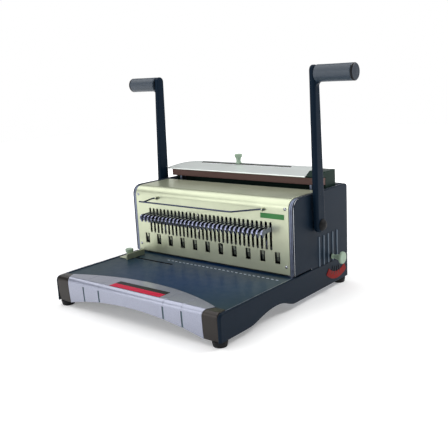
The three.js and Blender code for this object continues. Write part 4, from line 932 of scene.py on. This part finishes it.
def rear():
    """Rear cover with four screws, the drawer with a finger recess, and the bottom plate."""
    inset, levels = 9 * MM, {"top": 150 * MM, "bottom": 60 * MM}
    low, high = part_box("chip_drawer")
    height = (low.z + high.z) / 2
    half, rise, depth = 30 * MM, 5 * MM, 1.6 * MM

    def in_recess(face):
        centre = centre_of(face)
        on_back = face.normal.y > 0.9 and abs(centre.y - high.y) < WELD
        return on_back and abs(centre.x) < half and abs(centre.z - height) < rise

    def recessed(piece):
        split_band(piece, Vector(), half, X)
        split_band(piece, Z * height, rise, Z)
        sunk(piece, in_recess, depth)

    refined("rear_cover", sizes().sheet_edge)
    screws_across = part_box("rear_cover")[1].x - inset
    face = solid_box[1][1] - sizes().screw_height
    screws(corners("rear_screw", screws_across, face, levels), Y)
    refined("chip_drawer", edge=0.35 * MM, shaped=recessed)
    refined("bottom_plate", sizes().sheet_edge)


# Levers


def lever(kind):
    """A flat lever with rounded edges, and a fillet in the corner under its grip."""
    joint, side = LEVERS[kind]
    node, grip_node = kind + "_lever", kind + "_grip"
    gap, boss, core = 0.3 * MM, 8 * MM, 7 * MM
    pivot, grip_axis = from_side(PIVOT[joint]), from_side(box_middle(grip_node))
    low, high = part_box(grip_node)
    inner, outer = inner_face(node), inner_face(grip_node) - gap
    up = grip_axis - pivot
    reach = up.length
    up.normalize()
    across = up.cross(X)

    def on_outline(element, face):
        clear = (from_side(middle(element)) - pivot).length > boss
        return clear and is_beside(element, face) and is_corner(element, 40)

    def off_core(element):
        return (from_side(middle(element)) - grip_axis).length > core

    def softened(piece):
        width = sizes().lever_edge
        round_where(piece, width, lambda e: on_outline(e, outer) and off_core(e), 5)
        round_where(piece, width / 2, lambda e: on_outline(e, inner), 4)

    refined(node, edge=0.25 * MM, shaped=softened)
    radius, steps, taper = sizes().lever_fillet, 7, 0.6
    half, buried, back = 6 * MM, 4 * MM, 1 * MM
    corner = pivot + up * (reach - (high.z - low.z) / 2)
    bend = arc((outer + radius, -radius), radius, 180, 90, steps)
    points = [(outer - back, buried), (outer - back, -radius), *bend, (outer + radius, buried)]
    points = [corner + X * x * side + up * z - across * half for x, z in points]
    piece = outlined(node + "_fillet", points, across * 2 * half)
    for i in range(1, steps + 1):
        place, share = bend[i][0] * side, 1 - taper * i / steps
        pick(piece, lambda v: abs(v.co.x - place) < WELD, "VERT")
        bpy.ops.transform.resize(value=(1, share, 1), center_override=corner)
        close_edit()
    round_edges(piece, width=0.5 * MM, segments=3, least=50)
    finish_piece(piece, BODY_OF[node], "dark_paint")


def grip(kind):
    """A sleeve with rounded ends, and a domed end cap with a dark rim."""
    node, cap = kind + "_grip", kind + "_grip_cap"
    out = X * LEVERS[kind][1]
    low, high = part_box(node)
    axis = from_side(box_middle(node))
    radius, size, end = (high.z - low.z) / 2, high.x - low.x, sizes().grip_end
    waist = radius * 0.992
    profile = [(0, 0), (0, radius - end), *arc((end, radius - end), end, 180, 90, 6)]
    profile += [(size * 0.3, waist), (size * 0.6, waist), (size * 0.9, radius)]
    profile += [*arc((size - end, radius - end), end, 90, 0, 6), (size, 0)]
    piece = turned(node + "_fine", profile, axis + out * inner_face(node), out, 64)
    finish_piece(piece, BODY_OF[node], "grip_plastic", [node])
    low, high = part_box(cap)
    thick = high.x - low.x
    rim = thick * 0.8
    base = axis + out * inner_face(cap)
    profile = [(0, 0), (0, radius * 0.98), *arc((thick - rim, radius - rim), rim, 90, 10, 6)]
    profile += [(thick * 0.9, radius * 0.78), (thick * 0.9, radius * 0.6)]
    profile += [(thick, radius * 0.3), (thick, 0)]
    piece = turned(cap + "_fine", profile, base, out, 64)

    def on_disc(face):
        return abs(face.normal.x) > 0.85 and (centre_of(face) - base).dot(out) > thick * 0.5

    finish_piece(piece, BODY_OF[node], "rubber", [cap], paints=[("cap_plastic", on_disc)])


def pivot_cap(kind):
    """A domed cap over the end of a shaft."""
    joint, side = LEVERS[kind]
    node = kind + "_pivot_cap"
    low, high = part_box(node)
    radius, rim, dome = (high.z - low.z) / 2, 0.8 * MM, 5.5 * MM
    profile = [(0, 0), (0, radius), (rim, radius)]
    profile += domed((rim, 0), dome, radius * 0.96, (5, 20, 35, 50, 65, 80, 90))
    out = X * side
    start = from_side(PIVOT[joint]) + out * inner_face(node)
    piece = turned(node + "_fine", profile, start, out, 40)
    finish_piece(piece, BODY_OF[node], "rubber", [node])


# Hooks, closer and controls


def closer():
    """Bed, ends, plate and bar of the closer, with painted shade on the walls inside the slot of the
    plate.
    """
    half, end = 4 * MM, 119 * MM

    def in_slot(face):
        centre = centre_of(face)
        return is_wall(face) and abs(centre.y - CLOSER_SLOT) < half and abs(centre.x) < end

    for node, edge in {
        "closer_bed": 0.3,
        "closer_end_right": 0.8,
        "closer_end_left": 0.8,
        "closer_cover": 0.45,
        "press_bar": 0.9,
        "press_plate_right": 0.3,
        "press_plate_left": 0.3,
    }.items():
        # The walls of the plate's slot are painted dark rubber as painted shade.
        paints = [("rubber", in_slot)] if node == "closer_cover" else ()
        refined(node, edge * MM, paints=paints)


def fluted(piece, centre, axis, inner, flutes, low, high):
    """Presses shallow grooves into the rim of a turned knob, between two distances along its
    axis and outside this radius."""
    across, up = (Y, Z) if abs(axis.x) > 0.5 else (X, Y)
    groove_share = 0.45

    def in_groove(vertex):
        offset = vertex.co - centre
        along = offset.dot(axis)
        flat = offset - axis * along
        if flat.length < inner or not low <= along <= high:
            return False
        turn = math.atan2(flat.dot(up), flat.dot(across))
        return (turn / (2 * math.pi) * flutes) % 1 < groove_share

    pick(piece, in_groove, "VERT")
    share = 1 - sizes().flute_depth / inner
    factors = [1 if abs(axis[i]) > 0.5 else share for i in range(3)]
    bpy.ops.transform.resize(value=factors, center_override=centre)
    close_edit()


def knob_head(name, centre, foot, top, waist, groove_foot):
    """The head of a knob: a turned mushroom with shallow flutes round its rim."""
    neck, head, edge, dish = 4.3 * MM, 7 * MM, 1.2 * MM, 0.5 * MM
    total, flutes, groove_top = top - foot, 12, top - 0.8 * MM
    profile = [(foot, 0), (foot, neck * 1.25), (foot + 1 * MM, neck * 1.2)]
    profile += [(foot + waist * 0.5, neck * 0.92), (foot + waist, neck * 1.05)]
    profile += [(foot + waist + (total - waist) * 0.35, head * 0.93), (top - edge, head)]
    profile += [(top - edge * 0.4, head - edge * 0.4), (top, head - edge)]
    profile += [(top - dish, head * 0.55), (top - dish, 0)]
    piece = turned(name, profile, centre, Z)
    fluted(piece, centre, Z, head * 0.9, flutes, foot + groove_foot, groove_top)
    return piece


def size_knob():
    """Knob on the closer, with its shank through the slot and its stop block below the plate."""
    low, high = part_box("size_knob")
    centre = Vector(((low.x + high.x) / 2, CLOSER_SLOT, 0))
    foot, waist, groove_foot = high.z - 16.7 * MM, 9 * MM, 10 * MM
    head = knob_head("size_knob_head", centre, foot, high.z, waist, groove_foot)
    radius, start, end = 2.1 * MM, low.z + 3 * MM, foot + 0.5 * MM
    profile = [(start, 0), (start, radius), (end, radius), (end, 0)]
    shank = turned("size_knob_shank", profile, centre, Z, 24)
    block_top = low.z + 7 * MM
    block = bar("size_knob_block", low, (high.x, high.y, block_top))
    round_edges(block, width=0.6 * MM, segments=3)
    piece = joined("size_knob_fine", [head, shank, block])
    finish_piece(piece, "size_stop", "pale_plastic", ["size_knob"])


def guide_knob():
    """Clamping knob of the paper guide, with its shank and its nut under the table."""
    low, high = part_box("guide_knob")
    centre = from_above(PIVOT["guide_knob_turn"])
    foot, waist, groove_foot = TABLE_FACE + 2.1 * MM, 4 * MM, 6 * MM
    head = knob_head("guide_knob_head", centre, foot, high.z, waist, groove_foot)
    nut, nut_radius = TABLE_FACE - 1.8 * MM, 7 * MM
    radius, end = 2 * MM, foot + 0.5 * MM
    profile = [(low.z, 0), (low.z, nut_radius), (nut, nut_radius)]
    profile += [(nut, radius), (end, radius), (end, 0)]
    shank = turned("guide_knob_shank", profile, centre, Z, 24)
    round_edges(shank, width=0.3 * MM)
    piece = joined("guide_knob_fine", [head, shank])
    finish_piece(piece, "guide_clamp", "pale_plastic", ["guide_knob"])


def margin_knob():
    """Knob on the right side: a tapered stem with a knurled disc."""
    low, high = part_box("margin_knob")
    centre = from_side(PIVOT["margin_knob_turn"])
    radius, flange, flutes = (high.z - low.z) / 2, 4 * MM, 24
    start, disc, edge = low.x, high.x - 5.4 * MM, 1.6 * MM
    profile = [(start, 0), (start, flange), (start + 2.2 * MM, flange)]
    profile += [(start + 3 * MM, 2.9 * MM), (start + 6 * MM, 3.2 * MM)]
    profile += [(disc - 1 * MM, 5.6 * MM), (disc, 7 * MM), (disc + 0.4 * MM, radius - edge)]
    profile += [(disc + edge, radius), (high.x - edge, radius)]
    profile += domed((high.x - edge, radius - edge), edge, edge, (30, 60, 90))
    profile += [(high.x, radius * 0.5), (high.x, 0)]
    piece = turned("margin_knob_fine", profile, centre, X, 72)
    fluted(piece, centre, X, radius * 0.97, flutes, disc, high.x)
    finish_piece(piece, "margin_control", "pale_plastic", ["margin_knob"])


def rounded_path(points, radius, steps=6):
    """A path through these points with its corners rounded."""
    points = [Vector(point) for point in points]
    path = [points[0]]
    for before, corner, after in zip(points, points[1:], points[2:]):
        first = corner + (before - corner).normalized() * radius
        last = corner + (after - corner).normalized() * radius
        for i in range(steps + 1):
            t = i / steps
            path.append(first * (1 - t) ** 2 + corner * 2 * t * (1 - t) + last * t**2)
    return path + [points[-1]]


def wire(name, path, radius):
    """A round wire along a path, with closed ends."""
    piece = drawn(name, path)
    close_edit()
    bpy.ops.object.convert(target="CURVE")
    piece = bpy.context.object
    piece.data.bevel_depth = radius
    piece.data.bevel_resolution = 4
    piece.data.use_fill_caps = True
    bpy.ops.object.convert(target="MESH")
    return bpy.context.object


def wire_bail():
    """The bent wire in front of the panel, with a free tail on its left."""
    axis = PIVOT["bail_turn"]
    reach, tail, bend = 27 * MM, 10 * MM, 3 * MM
    ear_left, ear_right, pin, shoulder = -107.5 * MM, 115 * MM, 3 * MM, 6.4 * MM
    left, right = ear_left - 4 * MM, ear_right - 40 * MM
    droop = reach * math.sin(math.radians(4))

    def at(x, y=0, z=0):
        return (x, axis.y + y, axis.z + z)

    bar_path = [at(left - tail, -reach, -droop), at(right, -reach, -droop)]
    bar_path += [at(ear_right - shoulder), at(ear_right + pin)]
    arm_path = [at(left, -reach, -droop), at(ear_left - shoulder), at(ear_left + pin)]
    radius = sizes().bail_wire
    main_wire = wire("bail_bar", rounded_path(bar_path, bend), radius)
    arm = wire("bail_arm", rounded_path(arm_path, bend), radius)
    piece = joined("wire_bail_fine", [main_wire, arm])
    finish_piece(piece, "bail", "bright_steel", ["wire_bail"], 60, "dark_wire")


def works():
    """The mechanism inside the housing."""
    toothed = ["punch_shaft", "bind_shaft", "punch_bar"]
    toothed += ["punch_rack_right", "punch_rack_left", "margin_shaft"]
    plain = ["die_block", "stripper_plate", "guide_rod_right", "guide_rod_left", "depth_stop"]
    plain += [f"{kind}_bush_{word}" for kind in LEVERS for word in SIDES]
    for node in toothed:
        refined(node, edge=0.15 * MM, segments=1, angle=45)
    for node in plain:
        refined(node, edge=0.3 * MM, angle=45)


# Stage

CAMERA_PLACE = Vector((0.67964, -0.776106, 0.347721))
CAMERA_AZIMUTH, CAMERA_ELEVATION, CAMERA_ROLL = 39.29, 12.77, -2.89
CAMERA_LENS, CAMERA_SENSOR = 52.57, 36
FLOOR_SIZE, FLOOR_GLOW, FAR_GLOW = 6.0, 0.25, 1.0
WHITE = (*linear("ffffff"), 1)


def camera():
    """The camera at the photograph's viewing angle."""
    deselect()
    bpy.ops.object.camera_add(location=CAMERA_PLACE)
    made = bpy.context.object
    angles = (CAMERA_AZIMUTH, CAMERA_ELEVATION, CAMERA_ROLL)
    azimuth, elevation, roll = (math.radians(angle) for angle in angles)
    made.rotation_euler = (math.pi / 2 - elevation, 0, azimuth)
    bpy.context.view_layer.update()
    made.rotation_euler = (made.matrix_world @ Matrix.Rotation(roll, 4, "Z")).to_euler()
    made.data.lens = CAMERA_LENS
    made.data.sensor_width = CAMERA_SENSOR
    bpy.context.scene.camera = made


def soft_light(name, place, target, size, power):
    """A rectangular lamp in metres and watts, turned to a point."""
    deselect()
    bpy.ops.object.light_add(type="AREA", location=place)
    lamp = bpy.context.object
    lamp.name = name
    lamp.data.shape = "RECTANGLE"
    lamp.data.size, lamp.data.size_y = size
    lamp.data.energy = power
    lamp.rotation_euler = (Vector(target) - Vector(place)).to_track_quat("-Z", "Y").to_euler()


def lit_floor():
    """A plain pale floor that glows more further out, so that its edge doesn't show."""
    near, far = 0.5, 0.95
    deselect()
    bpy.ops.mesh.primitive_plane_add(size=FLOOR_SIZE, location=(0, 0, 0))
    floor = bpy.context.object
    floor.name = "floor"
    made = Finish("lit_acrylic_floor", linear("f2f2f2"), 0.8, Emission_Strength=FLOOR_GLOW)
    made.shader.inputs["Emission Color"].default_value = WHITE
    place = {0: made.place}
    away = add_node(made.tree, "ShaderNodeVectorMath", None, place, operation="LENGTH")
    glow = made.between(away.outputs["Value"], FLOOR_GLOW, FAR_GLOW, near, far)
    made.tree.links.new(glow, made.shader.inputs["Emission Strength"])
    floor.data.materials.append(made.material)


def surround():
    """A surround that is white at the horizon and grows dark overhead."""
    low, high, dark = 0.12, 0.42, 0.12
    world = bpy.data.worlds.new("pale_surround")
    bpy.context.scene.world = world
    world.use_nodes = True
    tree = world.node_tree
    ground = tree.nodes["Background"]
    place = add_node(tree, "ShaderNodeTexCoord").outputs["Generated"]
    height = add_node(tree, "ShaderNodeSeparateXYZ", None, {"Vector": place}).outputs["Z"]
    values = {"From Min": low, "From Max": high, "To Min": 1.0, "To Max": dark}
    glow = add_node(tree, "ShaderNodeMapRange", values, {"Value": height}).outputs[0]
    tree.links.new(glow, ground.inputs["Strength"])
    ground.inputs["Color"].default_value = WHITE


def stage():
    """Plain pale floor, soft lights and a pale surround."""
    lit_floor()
    surround()
    soft_light("top_light", (-0.5, -0.25, 1.5), (0, -0.02, 0.1), (2.2, 2.0), 26)
    soft_light("front_light", (-0.7, -1.7, 0.7), (0, 0, 0.1), (1.6, 0.75), 8)
    soft_light("side_light", (0.55, 0.4, 0.75), (0.17, 0.17, 0.09), (0.3, 0.3), 4)
    bpy.context.scene.view_settings.view_transform = "Standard"


# Operators


class BINDER_OT_camera(bpy.types.Operator):
    """Places the camera at the photograph's viewing angle"""

    bl_idname = "binder.camera"
    bl_label = "Camera"

    def execute(self, context):
        camera()
        return {"FINISHED"}


class BINDER_OT_finishes(bpy.types.Operator):
    """Makes one material for each finish of the machine"""

    bl_idname = "binder.finishes"
    bl_label = "Finishes"

    def execute(self, context):
        make_finishes()
        return {"FINISHED"}


class BINDER_OT_table(bpy.types.Operator):
    """Builds the folded work table and the scale printed on it"""

    bl_idname = "binder.table"
    bl_label = "Work table"

    def execute(self, context):
        table_top()
        table_scale()
        return {"FINISHED"}


class BINDER_OT_front_trim(bpy.types.Operator):
    """Builds the silver moulding with its label"""

    bl_idname = "binder.front_trim"
    bl_label = "Front trim"

    def execute(self, context):
        front_trim()
        return {"FINISHED"}


class BINDER_OT_corner_caps(bpy.types.Operator):
    """Builds the two bronze caps at the front"""

    bl_idname = "binder.corner_caps"
    bl_label = "Corner caps"

    def execute(self, context):
        corner_caps()
        return {"FINISHED"}


class BINDER_OT_skirts(bpy.types.Operator):
    """Builds the two side skirts"""

    bl_idname = "binder.skirts"
    bl_label = "Skirts"

    def execute(self, context):
        skirts()
        return {"FINISHED"}


class BINDER_OT_feet(bpy.types.Operator):
    """Builds the four rubber feet"""

    bl_idname = "binder.feet"
    bl_label = "Feet"

    def execute(self, context):
        feet()
        return {"FINISHED"}


class BINDER_OT_front_panel(bpy.types.Operator):
    """Builds the folded panel with its name plate and screws"""

    bl_idname = "binder.front_panel"
    bl_label = "Front panel"

    def execute(self, context):
        front_panel()
        return {"FINISHED"}


class BINDER_OT_side_covers(bpy.types.Operator):
    """Builds the side covers and side frames, and the dial"""

    bl_idname = "binder.side_covers"
    bl_label = "Side covers"

    def execute(self, context):
        side_covers()
        dial_lines()
        return {"FINISHED"}


class BINDER_OT_rear(bpy.types.Operator):
    """Builds the rear cover, its screws, the chip drawer and the bottom plate"""

    bl_idname = "binder.rear"
    bl_label = "Rear"

    def execute(self, context):
        rear()
        return {"FINISHED"}


class BINDER_OT_levers(bpy.types.Operator):
    """Builds the two levers"""

    bl_idname = "binder.levers"
    bl_label = "Levers"

    def execute(self, context):
        for kind in LEVERS:
            lever(kind)
        return {"FINISHED"}


class BINDER_OT_grips(bpy.types.Operator):
    """Builds the grips and their end caps"""

    bl_idname = "binder.grips"
    bl_label = "Grips"

    def execute(self, context):
        for kind in LEVERS:
            grip(kind)
        return {"FINISHED"}


class BINDER_OT_pivot_caps(bpy.types.Operator):
    """Builds the caps over the ends of the shafts"""

    bl_idname = "binder.pivot_caps"
    bl_label = "Pivot caps"

    def execute(self, context):
        for kind in LEVERS:
            pivot_cap(kind)
        return {"FINISHED"}


class BINDER_OT_hooks(bpy.types.Operator):
    """Builds the row of hooks"""

    bl_idname = "binder.hooks"
    bl_label = "Hooks"

    def execute(self, context):
        refined("hook_carriage", edge=0.2 * MM, angle=50)
        return {"FINISHED"}


class BINDER_OT_closer(bpy.types.Operator):
    """Builds the bed, the plate and the bar of the wire closer"""

    bl_idname = "binder.closer"
    bl_label = "Wire closer"

    def execute(self, context):
        closer()
        return {"FINISHED"}


class BINDER_OT_knobs(bpy.types.Operator):
    """Builds the three moulded knobs"""

    bl_idname = "binder.knobs"
    bl_label = "Knobs"

    def execute(self, context):
        size_knob()
        guide_knob()
        margin_knob()
        return {"FINISHED"}


class BINDER_OT_wire_bail(bpy.types.Operator):
    """Builds the bent wire in front of the panel"""

    bl_idname = "binder.wire_bail"
    bl_label = "Wire bail"

    def execute(self, context):
        wire_bail()
        return {"FINISHED"}


class BINDER_OT_edge_guide(bpy.types.Operator):
    """Builds the paper guide"""

    bl_idname = "binder.edge_guide"
    bl_label = "Edge guide"

    def execute(self, context):
        refined("edge_guide", edge=0.4 * MM)
        return {"FINISHED"}


class BINDER_OT_works(bpy.types.Operator):
    """Builds the mechanism inside the housing"""

    bl_idname = "binder.works"
    bl_label = "Works"

    def execute(self, context):
        works()
        return {"FINISHED"}


class BINDER_OT_stage(bpy.types.Operator):
    """Builds the floor, the lights and the surround"""

    bl_idname = "binder.stage"
    bl_label = "Stage"

    def execute(self, context):
        stage()
        return {"FINISHED"}


OPERATORS = [
    BINDER_OT_camera,
    BINDER_OT_finishes,
    BINDER_OT_table,
    BINDER_OT_front_trim,
    BINDER_OT_corner_caps,
    BINDER_OT_skirts,
    BINDER_OT_feet,
    BINDER_OT_front_panel,
    BINDER_OT_side_covers,
    BINDER_OT_rear,
    BINDER_OT_levers,
    BINDER_OT_grips,
    BINDER_OT_pivot_caps,
    BINDER_OT_hooks,
    BINDER_OT_closer,
    BINDER_OT_knobs,
    BINDER_OT_wire_bail,
    BINDER_OT_edge_guide,
    BINDER_OT_works,
    BINDER_OT_stage,
]


class BINDER_PT_sidebar(bpy.types.Panel):
    """Lists the steps that build the machine."""

    bl_label = "Wire Binding Machine"
    bl_space_type = "VIEW_3D"
    bl_region_type = "UI"
    bl_category = "Binder"

    def draw(self, context):
        for made in OPERATORS:
            self.layout.operator(made.bl_idname)
        for group in (context.scene.binder_sizes, context.scene.binder_colours):
            for key in group.__annotations__:
                self.layout.prop(group, key)


CLASSES = [BinderColours, BinderSizes, *OPERATORS, BINDER_PT_sidebar]


def register():
    for made in CLASSES:
        bpy.utils.register_class(made)
    bpy.types.Scene.binder_colours = bpy.props.PointerProperty(type=BinderColours)
    bpy.types.Scene.binder_sizes = bpy.props.PointerProperty(type=BinderSizes)


def unregister():
    del bpy.types.Scene.binder_sizes
    del bpy.types.Scene.binder_colours
    for made in reversed(CLASSES):
        bpy.utils.unregister_class(made)


def main():
    register()
    for made in OPERATORS:
        group, name = made.bl_idname.split(".")
        getattr(getattr(bpy.ops, group), name)()


if __name__ == "__main__":
    main()
